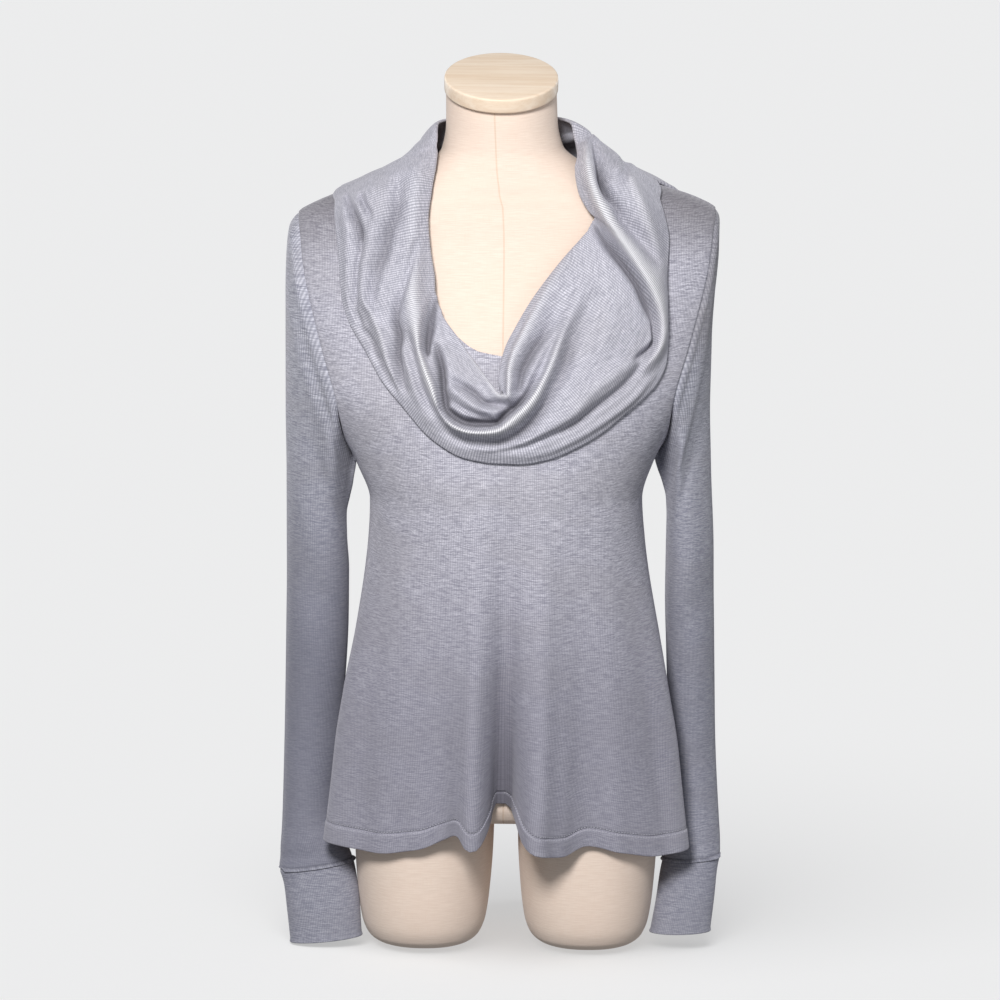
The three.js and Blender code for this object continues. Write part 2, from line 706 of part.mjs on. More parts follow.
const FRONT_STEPS = [0, 0.035, 0.07, 0.115, 0.165, 0.24, 0.33, 0.44, 0.56, 0.68, 0.79, 0.89, 1];
const BACK_STEPS = [0, 0.12, 0.24, 0.37, 0.5, 0.63, 0.76, 0.88, 1];

const drawing = new THREE.Group();
drawing.position.copy(ORIGIN).negate();

function add(name, geometry, finish) {
  const mesh = new THREE.Mesh(geometry, new THREE.MeshStandardMaterial(finish));
  mesh.name = name;
  drawing.add(mesh);
  return mesh;
}

add("front", panel(false, FRONT_STEPS), KNIT);
add("back", panel(true, BACK_STEPS), KNIT);
add("sleeve_left", tube(-1, SLEEVES.left, SLEEVE_RINGS, true), KNIT);
add("sleeve_right", tube(1, SLEEVES.right, SLEEVE_RINGS, true), KNIT);
add("cuff_left", tube(-1, CUFFS.left, CUFF_RINGS, false), KNIT);
add("cuff_right", tube(1, CUFFS.right, CUFF_RINGS, false), KNIT);
add("cowl", cowl(), KNIT);
add("dress_form", dressForm(), LINEN);
const cap = add("neck_cap", neckCap(), WOOD);
cap.rotation.x = CAP_LEAN * RAD;
cap.position.copy(CAP_MIDDLE);

const sweater = new THREE.Group();
sweater.add(drawing);
export default sweater;
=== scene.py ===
"""A cowl neck sweater on a dress form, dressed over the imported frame.

Sizes are in millimetres in the drawing that the solids were made from: X to the viewer's
right, Y away from the viewer, Z up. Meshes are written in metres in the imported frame.
"""

import json
import math

import bpy
import numpy as np
from mathutils import Matrix, Vector

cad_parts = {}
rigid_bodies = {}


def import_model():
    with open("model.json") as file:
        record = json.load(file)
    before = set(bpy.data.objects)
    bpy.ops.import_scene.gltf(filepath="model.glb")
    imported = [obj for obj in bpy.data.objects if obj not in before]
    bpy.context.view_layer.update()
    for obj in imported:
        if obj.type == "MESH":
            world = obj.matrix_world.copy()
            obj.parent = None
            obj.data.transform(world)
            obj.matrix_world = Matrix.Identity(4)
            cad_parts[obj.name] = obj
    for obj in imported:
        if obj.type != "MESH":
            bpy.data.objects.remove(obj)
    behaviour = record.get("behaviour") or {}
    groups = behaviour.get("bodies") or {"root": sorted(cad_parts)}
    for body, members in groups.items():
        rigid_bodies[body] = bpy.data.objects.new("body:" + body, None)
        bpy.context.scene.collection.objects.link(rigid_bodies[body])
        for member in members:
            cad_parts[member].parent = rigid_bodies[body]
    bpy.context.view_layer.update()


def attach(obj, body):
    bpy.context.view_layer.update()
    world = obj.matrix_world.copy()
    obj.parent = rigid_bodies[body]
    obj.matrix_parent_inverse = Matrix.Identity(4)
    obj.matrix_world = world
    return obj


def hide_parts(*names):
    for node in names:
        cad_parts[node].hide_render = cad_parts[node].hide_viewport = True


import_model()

# The sizes that the solids were made from
CLOTH = 2.0
COWL_CLOTH = 3.0
SEAM_GAP = 0.3
HEM_HEIGHT = 105.0
HEM_FADE = 230.0  # above this height the rows are level
UNDERARM = 488.0
SHOULDER_TIP = 738.0
FRONT_NECK = 606.0
BACK_NECK = 756.0
TOP_ROW = 769.0
TILT = 0.02  # how steeply the shoulders rise to the right
TILT_FROM = 420.0
TILT_OVER = 80.0
CAP_RADIUS = 56.0
CAP_THICK = 15.0
CAP_LEAN = 20.0  # degrees
CAP_EDGE = 2.2  # radius of the cap's rims
CAP_FLAT = 20.0
CAP_MIDDLE = np.array([1.0, -5.0, 856.5])
FLOOR = -5.0
ORIGIN = np.array([7.5, -11.0, FLOOR])
FOLD_GROWTH = 1.4  # the power by which hanging folds grow to the hem
FOLD_LIMIT = 1.1


def mix(a, b, t):
    return a + (b - a) * t


def smooth(t):
    t = np.clip(t, 0, 1)
    return t * t * (3 - 2 * t)


def bell(x, middle, width):
    return np.exp(-(((x - middle) / width) ** 2))


def table(columns, rows, period=0.0):
    """Reads rows by their first column. Between rows each other column runs as a smooth
    curve that never overshoots its rows. With a period the table closes on itself."""
    data = [[float(v) for v in row] for row in rows]
    start = data[0][0]
    if period:
        first, second, last = list(data[0]), list(data[1]), list(data[-1])
        last[0] -= period
        first[0] += period
        second[0] += period
        data = [last, *data, first, second]
    data = np.array(data)
    at, values = data[:, 0], data[:, 1:]
    step = np.diff(values, axis=0) / np.diff(at)[:, None]
    slopes = np.zeros_like(values)
    slopes[0], slopes[-1] = step[0], step[-1]
    before, after = step[:-1], step[1:]
    same = before * after > 0
    slopes[1:-1] = np.where(same, 2 * before * after / np.where(same, before + after, 1), 0)

    def read(where):
        x = np.asarray(where, float)
        if period:
            x = (x - start) % period + start
        x = np.clip(x, at[0], at[-1])
        i = np.clip(np.searchsorted(at, x, side="left") - 1, 0, len(at) - 2)
        width = at[i + 1] - at[i]
        t = (x - at[i]) / width
        out = {}
        for c, name in enumerate(columns[1:]):
            out[name] = (
                values[i, c] * (1 + 2 * t) * (1 - t) ** 2
                + values[i + 1, c] * t * t * (3 - 2 * t)
                + slopes[i, c] * width * t * (1 - t) ** 2
                - slopes[i + 1, c] * width * t * t * (1 - t)
            )
        return out

    return read


# The outside of the sweater's body, shoulders and neck, ring by ring
body_ring = table(
    ["height", "middle", "width", "front", "back", "square"],
    [
        [90, 10, 160, 118, 130, 2.2], [200, 11, 160, 122, 126, 2.2], [260, 11, 156, 124, 122, 2.2],
        [320, 12, 149, 126, 116, 2.2], [412, 11, 138, 129, 108, 2.3], [450, 10, 136, 132, 108, 2.4],
        [488, 9, 148, 135, 110, 2.4], [517, 9, 163, 135, 112, 2.4], [560, 8, 187, 131, 115, 2.4],
        [607, 8, 204, 113, 115, 2.3], [650, 8, 213, 95, 112, 2.3], [690, 8, 219, 80, 104, 2.3],
        [718, 8, 217, 73, 96, 2.2], [738, 8, 206, 69, 86, 2.2], [747, 8, 190, 67, 82, 2.2],
        [754, 7, 172, 65, 80, 2.2], [761, 6, 150, 64, 77, 2.1], [768, 6, 125, 62, 74, 2.1],
        [776, 5, 102, 60, 70, 2], [786, 4, 82, 59, 65, 2], [800, 4, 67, 58, 61, 2],
        [835, 4, 60, 57, 59, 2],
    ],
)
armhole = table(
    ["height", "reach"],
    [[488, 148], [517, 160], [560, 167], [607, 181], [690, 201], [738, 206]],
)
front_neck = table(
    ["height", "reach"],
    [[606, 0], [612, 28], [625, 47], [650, 68], [700, 90], [735, 97], [775, 101]],
)
back_neck = table(["height", "reach"], [[756, 0], [762, 50], [768, 82], [775, 101]])

# Hem heights round the body: 0 degrees is the front middle, 90 the viewer's right
hem_line = table(
    ["angle", "height"],
    [
        [-90, 111], [-72, 107], [-48, 105], [-30, 112], [-20, 124], [-14, 131], [-9, 118],
        [-4, 136], [-1, 155], [3, 145], [6, 124], [10, 114], [20, 109], [31, 116], [45, 108],
        [60, 101], [74, 103], [90, 107], [125, 98], [155, 104], [180, 94], [205, 103], [235, 97],
    ],
    360,
)

# Hanging folds: angle at the hem, wander per 100 mm of height, half width in degrees,
# how far they stand out or in, and the height where they end
FOLDS = [
    (-72, 0, 13, 27, 430), (-48, 1, 11, 7, 400), (-22, -2, 8, -7, 470), (-9, -0.6, 5, 15, 520),
    (-0.5, 0.2, 4.5, -40, 500), (10, 1, 6, 14, 520), (30, -1.5, 9, -9, 480), (54, -4, 12, 10, 480),
    (73, 0, 13, 33, 430), (122, 2, 10, 12, 400), (150, 1, 10, -9, 430), (176, -1, 11, 13, 470),
    (205, 1, 10, -10, 420), (236, -2, 11, 12, 400),
]

# Softer folds that only the cloth's own surface has, in the same columns
SOFT_FOLDS = [
    (-60, 0.5, 5, 2.2, 330), (-36, 1.2, 4, -2.4, 420), (-8.5, -0.6, 3, 4, 500),
    (-0.5, 0.2, 2.6, -8, 500), (9, 1, 3.4, 4, 500), (-15, -0.8, 2.6, 2.0, 430),
    (19, 1.4, 3.4, 2.2, 470), (42, -1.8, 4.5, 2.6, 400), (63, -2.6, 4, -2.4, 360),
    (104, 1.4, 5, -2.2, 330), (136, 1.2, 5, 2.0, 390), (163, 0.6, 4.5, -2.6, 420),
    (191, -0.8, 5, 2.2, 380), (221, -1.2, 5, -2.0, 400), (251, -1.6, 5, 2.4, 350),
]


def turned(angle):
    return (angle + 180) % 360 - 180


def fold_push(angle, height, folds=FOLDS):
    total = np.zeros(np.broadcast(angle, height).shape)
    for middle, wander, spread, push, top in folds:
        away = turned(angle - middle - wander * (height - HEM_HEIGHT) / 100)
        grown = np.clip((top - height) / (top - HEM_HEIGHT), 0, FOLD_LIMIT)
        total = total + push * grown**FOLD_GROWTH * np.exp(-((away / spread) ** 2))
    return total


def ring_point(ring, angle, height):
    s, c = np.sin(np.radians(angle)), np.cos(np.radians(angle))
    power = 2 / ring["square"]
    x = ring["middle"] + ring["width"] * np.sign(s) * np.abs(s) ** power
    depth = np.where(c > 0, ring["front"], ring["back"])
    y = -depth * np.sign(c) * np.abs(c) ** power
    x, y, z = np.broadcast_arrays(x, y, height)
    return np.stack([x, y, z], -1).astype(float)


def tilted(p):
    p = p.copy()
    p[..., 2] += TILT * (p[..., 0] - ORIGIN[0]) * smooth((p[..., 2] - TILT_FROM) / TILT_OVER)
    return p


def body_point(angle, height):
    angle, height = np.broadcast_arrays(np.asarray(angle, float), np.asarray(height, float))
    p = ring_point(body_ring(height), angle, height)
    push = fold_push(angle, height)
    p[..., 0] += push * np.sin(np.radians(angle))
    p[..., 1] -= push * np.cos(np.radians(angle))
    return tilted(p)


def unit(v):
    return v / np.maximum(np.linalg.norm(v, axis=-1, keepdims=True), 1e-9)


def lengths(points, axis=0):
    """How far along its line each point of a row or grid of points lies."""
    span = np.linalg.norm(np.diff(points, axis=axis), axis=-1)
    return np.concatenate([np.zeros_like(span.take([0], axis)), np.cumsum(span, axis)], axis)


def levels(*spans):
    """Sorted values of several even runs, each given by its ends and its count."""
    return np.unique(np.concatenate([np.linspace(*span) for span in spans]))


def whole_wales(around, wale):
    """Lengths round a closed piece, stretched to a whole number of wales."""
    return around * (round(around[-1] / wale) * wale / around[-1])


def body_normal(angle, height):
    across = body_point(angle + 1, height) - body_point(angle - 1, height)
    up = body_point(angle, height + 2) - body_point(angle, height - 2)
    return unit(np.cross(across, up))


def angle_at_reach(height, reach):
    ring = body_ring(height)
    share = np.clip(reach / ring["width"], 0, 1) ** (ring["square"] / 2)
    return np.degrees(np.arcsin(share))


def seam_angle(height, back):
    ring = body_ring(height)
    depth = ring["back" if back else "front"]
    return np.degrees(np.arccos((SEAM_GAP / 2 / depth) ** (ring["square"] / 2)))


def panel_edge(height, back):
    seam = seam_angle(height, back)
    at_arm = np.minimum(seam, angle_at_reach(height, armhole(height)["reach"]))
    return np.where((height <= UNDERARM) | (height >= SHOULDER_TIP), seam, at_arm)


# Meshes

def grid_corners(rows, columns, ring=False):
    """Row and column of each corner of a grid's quads; a ring's last quad ends in a column
    past the last, which is the first again."""
    r, c = np.meshgrid(np.arange(rows - 1), np.arange(columns - (0 if ring else 1)), indexing="ij")
    r, c = r.ravel(), c.ravel()
    return np.stack([r, r, r + 1, r + 1], 1), np.stack([c, c + 1, c + 1, c], 1)


def grid_normals(points, ring=False):
    """Normals of a (rows, columns, 3) grid whose rows run to the right and up from outside."""
    if ring:
        across = np.roll(points, -1, 1) - np.roll(points, 1, 1)
    else:
        across = np.gradient(points, axis=1)
    return unit(np.cross(across, np.gradient(points, axis=0)))


# A rim's section: how far down through the cloth and how far out, in shares of its thickness
RIM = [(0.06, 0.25), (0.25, 0.45), (0.5, 0.52), (0.75, 0.45), (0.94, 0.25)]


def wall(name, points, normals, quads, uvs, thick, folds=0.0):
    """A closed wall with rounded rims. points and normals are (n, 3), quads (m, 4) and uvs
    (m, 4, 2) in metres; folds says how far each point stands out in a fold, or in."""
    count = len(points)
    open_edges = {}
    for face, quad in enumerate(quads.tolist()):
        for k in range(4):
            a, b = quad[k], quad[(k + 1) % 4]
            if open_edges.pop((b, a), None) is None:
                open_edges[(a, b)] = (face, k)
    edges = np.array(list(open_edges))
    ends = np.array([(uvs[face, k], uvs[face, (k + 1) % 4]) for face, k in open_edges.values()])
    along = points[edges[:, 1]] - points[edges[:, 0]]
    out = np.zeros_like(points)
    for k in (0, 1):
        np.add.at(out, edges[:, k], unit(np.cross(along, normals[edges[:, k]])))
    rim = np.unique(edges)
    out = unit(out[rim])
    place = np.zeros(count, int)
    place[rim] = np.arange(len(rim))
    a, b = place[edges].T
    folds = np.broadcast_to(np.asarray(folds, float), (count,))
    verts, depths, rows = [points, points - normals * thick], [folds, folds], [rim]
    for k, (down, reach) in enumerate(RIM):
        verts.append(points[rim] + (out * reach - normals[rim] * down) * thick)
        depths.append(folds[rim])
        rows.append(2 * count + k * len(rim) + np.arange(len(rim)))
    rows.append(rim + count)
    faces = [quads, quads[:, ::-1] + count]
    corner_uvs = [uvs, uvs[:, ::-1]]
    for upper, lower in zip(rows[:-1], rows[1:]):
        faces.append(np.stack([upper[b], upper[a], lower[a], lower[b]], 1))
        corner_uvs.append(ends[:, [1, 0, 0, 1]])
    verts, faces, corner_uvs = map(np.concatenate, (verts, faces, corner_uvs))
    obj = mesh_object(name, verts, faces.tolist(), corner_uvs)
    # the fold depth of each point, from which the knit paints shade in deep folds and a highlight on high
    # ones
    depth = obj.data.attributes.new("fold", "FLOAT", "POINT")
    depth.data.foreach_set("value", np.concatenate(depths).astype(np.float32))
    return obj


def mesh_object(name, verts, faces, uvs=None, flat_caps=False):
    """A smooth-shaded object from points in drawing millimetres and a list of faces. With
    flat_caps its triangles are shaded flat."""
    mesh = bpy.data.meshes.new(name)
    mesh.from_pydata(((verts - ORIGIN) / 1000).tolist(), [], faces)
    if uvs is not None:
        layer = mesh.uv_layers.new(name="cloth")
        layer.data.foreach_set("uv", np.asarray(uvs, np.float32).ravel())
    mesh.polygons.foreach_set("use_smooth", [not flat_caps or len(face) == 4 for face in faces])
    mesh.update()
    obj = bpy.data.objects.new(name, mesh)
    bpy.context.scene.collection.objects.link(obj)
    return obj


def flat_area(obj):
    """Half of a closed wall's area, in square metres."""
    mesh = obj.data
    areas = np.zeros(len(mesh.polygons))
    mesh.polygons.foreach_get("area", areas)
    return float(areas.sum() / 2)


# Front and back panels

HEM_BAND = 19.0  # the turned-up hem's stitch line, over the edge
SEAM_DIP = 1.3  # how far the cloth dips into a seam
SEAM_WIDTH = 2.2
SHOULDER_DIP = 0.3  # the same beside the shoulder seam, and the height over which it eases
DIP_EASE = 20.0
HEM_FULLER = 0.6
STITCH_DIP = 1.4
STITCH_WIDTH = 1.7
BODY_HALF = 150.0  # a middling radius of the body, to turn a panel's angles into lengths
GRAIN_STEP = 10.0
GRAIN_HEIGHTS = np.arange(90, 790, GRAIN_STEP)
GRAIN_PER_DEGREE = 4


def hem_rise(angle, row):
    fade = np.clip((HEM_FADE - row) / (HEM_FADE - HEM_HEIGHT), 0, 1)
    return (hem_line(angle)["height"] - HEM_HEIGHT) * fade


def hem_push(row):
    """The doubled hem is a little fuller, and its stitching pulls the cloth in."""
    over = row - HEM_HEIGHT - HEM_BAND
    return HEM_FULLER * (1 - smooth((over + 2) / 3)) - STITCH_DIP * bell(over, 0, STITCH_WIDTH)


def grain_rows(sign):
    """How far round each level of the body the angles of one side lie from the front's
    middle, as a mean of the body with its folds and without."""
    angle = sign * np.linspace(0, 180, 180 * GRAIN_PER_DEGREE + 1)
    rows = []
    for height in GRAIN_HEIGHTS:
        plain_ring = ring_point(body_ring(height), angle, height)
        rows.append((lengths(plain_ring) + lengths(body_point(angle, height))) / 2)
    return np.array(rows)


GRAIN_ROUND = {sign: grain_rows(sign) for sign in (-1, 1)}


def grain(angle, height, back):
    """Millimetres round the body from the middle of the front or of the back."""
    angle = turned(angle)
    out = np.zeros(angle.shape)
    level = np.clip((height - GRAIN_HEIGHTS[0]) / GRAIN_STEP, 0, len(GRAIN_HEIGHTS) - 1.001)
    low = level.astype(int)
    part = np.clip(np.abs(angle) * GRAIN_PER_DEGREE, 0, 180 * GRAIN_PER_DEGREE - 0.001)
    step = part.astype(int)
    for sign, rows in GRAIN_ROUND.items():
        below = mix(rows[low, step], rows[low, step + 1], part - step)
        above = mix(rows[low + 1, step], rows[low + 1, step + 1], part - step)
        length = mix(below, above, level - low)
        if back:
            length = length - mix(rows[low, -1], rows[low + 1, -1], level - low)
        out = np.where((angle >= 0) == (sign > 0), sign * length, out)
    return out


def panel(name, back):
    """The front or the back. Its rows lie closest at the hem's stitching and the neckline."""
    neck, neck_from = (back_neck, BACK_NECK) if back else (front_neck, FRONT_NECK)
    hem = HEM_HEIGHT + HEM_BAND
    rows = levels(
        (HEM_HEIGHT, hem - 5, 10),
        (hem - 5, hem + 5, 20),
        (hem + 5, UNDERARM, 112),
        (UNDERARM, SHOULDER_TIP, 90),
        (SHOULDER_TIP, TOP_ROW, 16),
        (neck_from, neck_from + 8, 6),
    )
    steps = levels((0, 0.965, 76), (0.972, 1, 8))
    columns = len(steps)
    inner = np.where(rows > neck_from, angle_at_reach(rows, neck(rows)["reach"]), 0)
    edge = panel_edge(rows, back)
    turn = mix(inner[:, None], edge[:, None], steps[None, :])
    from_seam = (1 - steps[None, :]) * np.radians(edge - inner)[:, None] * BODY_HALF
    dip = mix(SEAM_DIP, SHOULDER_DIP, smooth((rows - SHOULDER_TIP + DIP_EASE) / DIP_EASE))
    own_push = hem_push(rows)[:, None] - dip[:, None] * bell(from_seam, 0, SEAM_WIDTH)
    points, normals, quads, uvs, folds = [], [], [], [], []
    r, c = grid_corners(len(rows), columns)
    for half, side in enumerate((-1, 1)):
        angle = 180 - side * turn if back else side * turn
        height = rows[:, None] + hem_rise(angle, rows[:, None])
        normal = body_normal(angle, height)
        push = fold_push(angle, height, SOFT_FOLDS)
        folds.append((push + fold_push(angle, height)).ravel())
        push = push + own_push
        points.append((body_point(angle, height) + normal * push[..., None]).reshape(-1, 3))
        normals.append(normal.reshape(-1, 3))
        index = half * turn.size + r * columns + c
        if half:
            # Under the neckline the two halves share the points of their middle
            index = np.where((c == 0) & (rows <= neck_from)[r], r * columns + c, index)
        uv = np.stack([grain(angle, height, back)[r, c], rows[r] - HEM_HEIGHT], -1) / 1000
        runs_right = (side > 0) != back
        quads.append(index if runs_right else index[:, ::-1])
        uvs.append(uv if runs_right else uv[:, ::-1])
    points, normals, quads, uvs, folds = map(np.concatenate, (points, normals, quads, uvs, folds))
    used, packed = np.unique(quads, return_inverse=True)
    return wall(name, points[used], normals[used], packed.reshape(quads.shape), uvs, CLOTH, folds[used])


# Sleeves and cuffs

TUBE_COLUMNS = ["ring", "outer_x", "outer_z", "inner_x", "inner_z", "depth", "backward"]
SLEEVES = {
    "left": [
        [0, -198, 738, -139, 488, 58, 4], [1, -207, 724, -141, 475, 58, 4],
        [2, -210, 696, -143, 462, 56, 5], [3, -211, 655, -146, 448, 53, 6],
        [4, -211, 605, -149, 430, 48, 8], [5, -211, 545, -149, 405, 44, 11],
        [6, -210, 475, -147, 370, 40, 14], [7, -210, 405, -147, 325, 36, 17],
        [8, -210, 335, -149, 280, 33, 20], [9, -211, 265, -152, 235, 30, 23],
        [10, -212, 200, -154, 188, 28, 24], [11, -213, 145, -159, 145, 26, 20],
        [12, -214, 105, -159, 118, 24, 13], [13, -215, 84, -150, 97, 22, 4],
        [14, -216, 66, -141, 78, 20, -4],
    ],
    "right": [
        [0, 214, 738, 157, 488, 58, 4], [1, 218, 726, 161, 476, 58, 4],
        [2, 218, 700, 166, 463, 56, 5], [3, 215, 658, 170, 448, 53, 6],
        [4, 213, 608, 171, 430, 48, 8], [5, 213, 548, 171, 405, 44, 11],
        [6, 215, 478, 171, 370, 40, 14], [7, 219, 408, 172, 325, 36, 18],
        [8, 221, 338, 174, 280, 33, 24], [9, 223, 268, 176, 235, 30, 28],
        [10, 225, 203, 178, 188, 28, 29], [11, 228, 150, 178, 145, 26, 26],
        [12, 230, 115, 177, 118, 24, 18], [13, 231, 97, 175, 99, 22, 10],
        [14, 231, 84, 173, 80, 20, 2],
    ],
}
CUFFS = {
    "left": [
        [0, -216, 66, -141, 78, 20, -4], [1, -211, 52, -138, 66, 19, -9],
        [2, -207, 26, -134, 42, 18, -19], [3, -203, -3, -131, 5, 17, -30],
    ],
    "right": [
        [0, 231, 84, 173, 80, 20, 2], [1, 228, 70, 170, 67, 19, -4], [2, 225, 42, 166, 41, 18, -14],
        [3, 221, 12, 160, 10, 17, -25],
    ],
}
SLEEVE_WALE = 1.8  # millimetres from rib to rib
BODY_WALE = 1.8
COWL_WALE = 2.3
ARM_SPAN = SHOULDER_TIP - UNDERARM
ARMHOLE_RINGS = 5
TUBE_AROUND = 72
TUBE_END = 0.12  # within this part of a ring from both ends, rings lie closer
CREASES_FROM = 0.8  # creases ease in and out over these parts of a ring at the two ends
CREASES_UNTIL = 0.5
LIP_WIDTH = 0.02  # the share of a cuff's length over which its lip stands out
SLEEVE_HALVES = (31.0, 36.0)  # half width and depth that a sleeve's wales are counted over
CUFF_HALVES = {"left": (37.5, 19.0), "right": (29.0, 19.0)}

# Soft creases of a sleeve: ring, degrees round it (90 front, 0 underarm), half widths in
# rings and degrees, slant in degrees per ring, and depth
SLEEVE_CREASES = {
    "left": [
        (1.6, 60, 0.5, 42, 18, -1.6), (2.8, 95, 0.6, 36, 22, 1.5), (4.4, 50, 0.5, 46, 16, -1.4),
        (6.1, 110, 0.45, 40, -20, 1.3), (7.2, 70, 0.4, 52, 14, -1.8), (8.1, 120, 0.5, 44, 20, 1.4),
        (9.4, 60, 0.4, 40, -12, -1.2), (12.6, 90, 0.5, 60, 10, 1.4),
        (13.4, 130, 0.4, 50, -10, -1.5), (3.4, 250, 0.6, 46, 18, -1.5),
        (5.6, 280, 0.5, 50, -16, 1.4), (7.8, 240, 0.5, 44, 20, -1.6), (10.6, 270, 0.5, 50, 12, 1.3),
        (13.1, 260, 0.4, 50, -12, 1.4),
    ],
    "right": [
        (1.4, 70, 0.5, 44, -16, -1.5), (3.2, 60, 0.6, 40, -20, 1.5), (4.9, 100, 0.5, 40, 18, -1.6),
        (6.6, 60, 0.45, 48, -14, 1.4), (7.6, 105, 0.4, 46, 20, -1.7), (9.0, 70, 0.5, 48, -18, 1.4),
        (10.4, 110, 0.4, 40, 10, -1.2), (12.3, 80, 0.5, 56, -12, 1.5),
        (13.2, 60, 0.4, 50, 12, -1.4), (2.8, 260, 0.6, 46, -18, 1.4), (5.2, 240, 0.5, 48, 16, -1.5),
        (8.3, 280, 0.5, 46, -18, 1.5), (11.0, 250, 0.5, 50, 14, -1.3),
        (13.4, 280, 0.4, 46, -10, 1.3),
    ],
}


def armhole_edge(side, share, face):
    height = UNDERARM + share * ARM_SPAN
    turn = side * np.minimum(90, angle_at_reach(height, armhole(height)["reach"]))
    return np.where(face > 0, 180 - turn, turn), height


def armhole_point(side, share, face):
    p = body_point(*armhole_edge(side, share, face))
    middle_height = np.full(share.shape, (UNDERARM + SHOULDER_TIP) / 2)
    middle = np.stack([p[..., 0], 0 * share, middle_height], -1)
    p = p + unit(middle - p) * SEAM_GAP
    p[..., 0] += side * SEAM_GAP
    return p


def ellipse_point(ring, share, face):
    x = mix(ring["inner_x"], ring["outer_x"], share)
    y = ring["backward"] + face * ring["depth"] * 2 * np.sqrt(np.maximum(share * (1 - share), 0))
    z = mix(ring["inner_z"], ring["outer_z"], share)
    return tilted(np.stack([x, y, z], -1))


def square_end(normals, ring):
    """Normals at a tube's end, laid into the plane of its slanting ring."""
    along = [ring["outer_x"] - ring["inner_x"], 0, ring["outer_z"] - ring["inner_z"]]
    axis = unit(np.cross(np.array(along, float), [0, 1, 0]))
    return unit(normals - (normals @ axis)[:, None] * axis)


def tube(name, side, rows, at_armhole, count, halves, creases=(), lip=0.0):
    """A sleeve or a cuff: a loft of slanting rings, from its lowest up to its highest."""
    read = table(TUBE_COLUMNS, rows)
    last = rows[-1][0]
    rings = levels((0, last, count), (0, TUBE_END, 7), (last - TUBE_END, last, 7))[::-1]
    count = len(rings)
    theta = np.linspace(0, 2 * np.pi, TUBE_AROUND, endpoint=False)
    if side < 0:
        theta = (2 * np.pi - theta) % (2 * np.pi)
    share = np.broadcast_to((1 - np.cos(theta)) / 2, (count, TUBE_AROUND))
    face = np.broadcast_to(np.where(theta <= np.pi, -1.0, 1.0), share.shape)
    r = np.broadcast_to(rings[:, None], share.shape)
    p = ellipse_point(read(r), share, face)
    if at_armhole:
        kept = np.clip(1 - r / ARMHOLE_RINGS, 0, 1)[..., None]
        ellipse = ellipse_point(read(0 * theta), share[0], face[0])
        p = p + (armhole_point(side, share[0], face[0]) - ellipse)[None] * kept
    else:
        p[-1, :, 2] -= SEAM_GAP
    normals = grid_normals(p, ring=True)
    degrees = np.degrees(theta)[None, :]
    push = np.zeros(share.shape)
    for ring, angle, wide, spread, slant, depth in creases:
        away = turned(degrees - angle - slant * (r - ring))
        push += depth * bell(r, ring, wide) * bell(away, 0, spread)
    up = lengths(p)
    seams = [up[-1] - up, up] if at_armhole else [up[-1] - up]
    ends = np.minimum(smooth(r / CREASES_FROM), smooth((last - r) / CREASES_UNTIL))
    push = push * ends + lip * bell(r, last, LIP_WIDTH * last)
    for away in seams:
        push = push - SEAM_DIP * bell(away, 0, SEAM_WIDTH)
    p = p + normals * push[..., None]
    normals = grid_normals(p, ring=True)
    normals[0] = square_end(normals[0], read(last))
    if at_armhole:
        body = body_normal(*armhole_edge(side, share[0], face[0]))
        normals[-1] = unit(body + normals[-1] * (1 - share[0])[:, None])
    else:
        normals[-1] = square_end(normals[-1], read(0.0))
    row, column = grid_corners(count, TUBE_AROUND, ring=True)
    quads = row * TUBE_AROUND + column % TUBE_AROUND
    even = np.linspace(0, 2 * np.pi, TUBE_AROUND + 1)
    pace = np.hypot(halves[0] * np.sin(even), halves[1] * np.cos(even))
    around = np.concatenate([[0], np.cumsum(pace[1:] + pace[:-1])]) * np.pi / TUBE_AROUND
    around = whole_wales(around, SLEEVE_WALE)
    uvs = np.stack([around[column], p[row, column % TUBE_AROUND, 2]], -1) / 1000
    return wall(name, p.reshape(-1, 3), normals.reshape(-1, 3), quads, uvs, CLOTH)


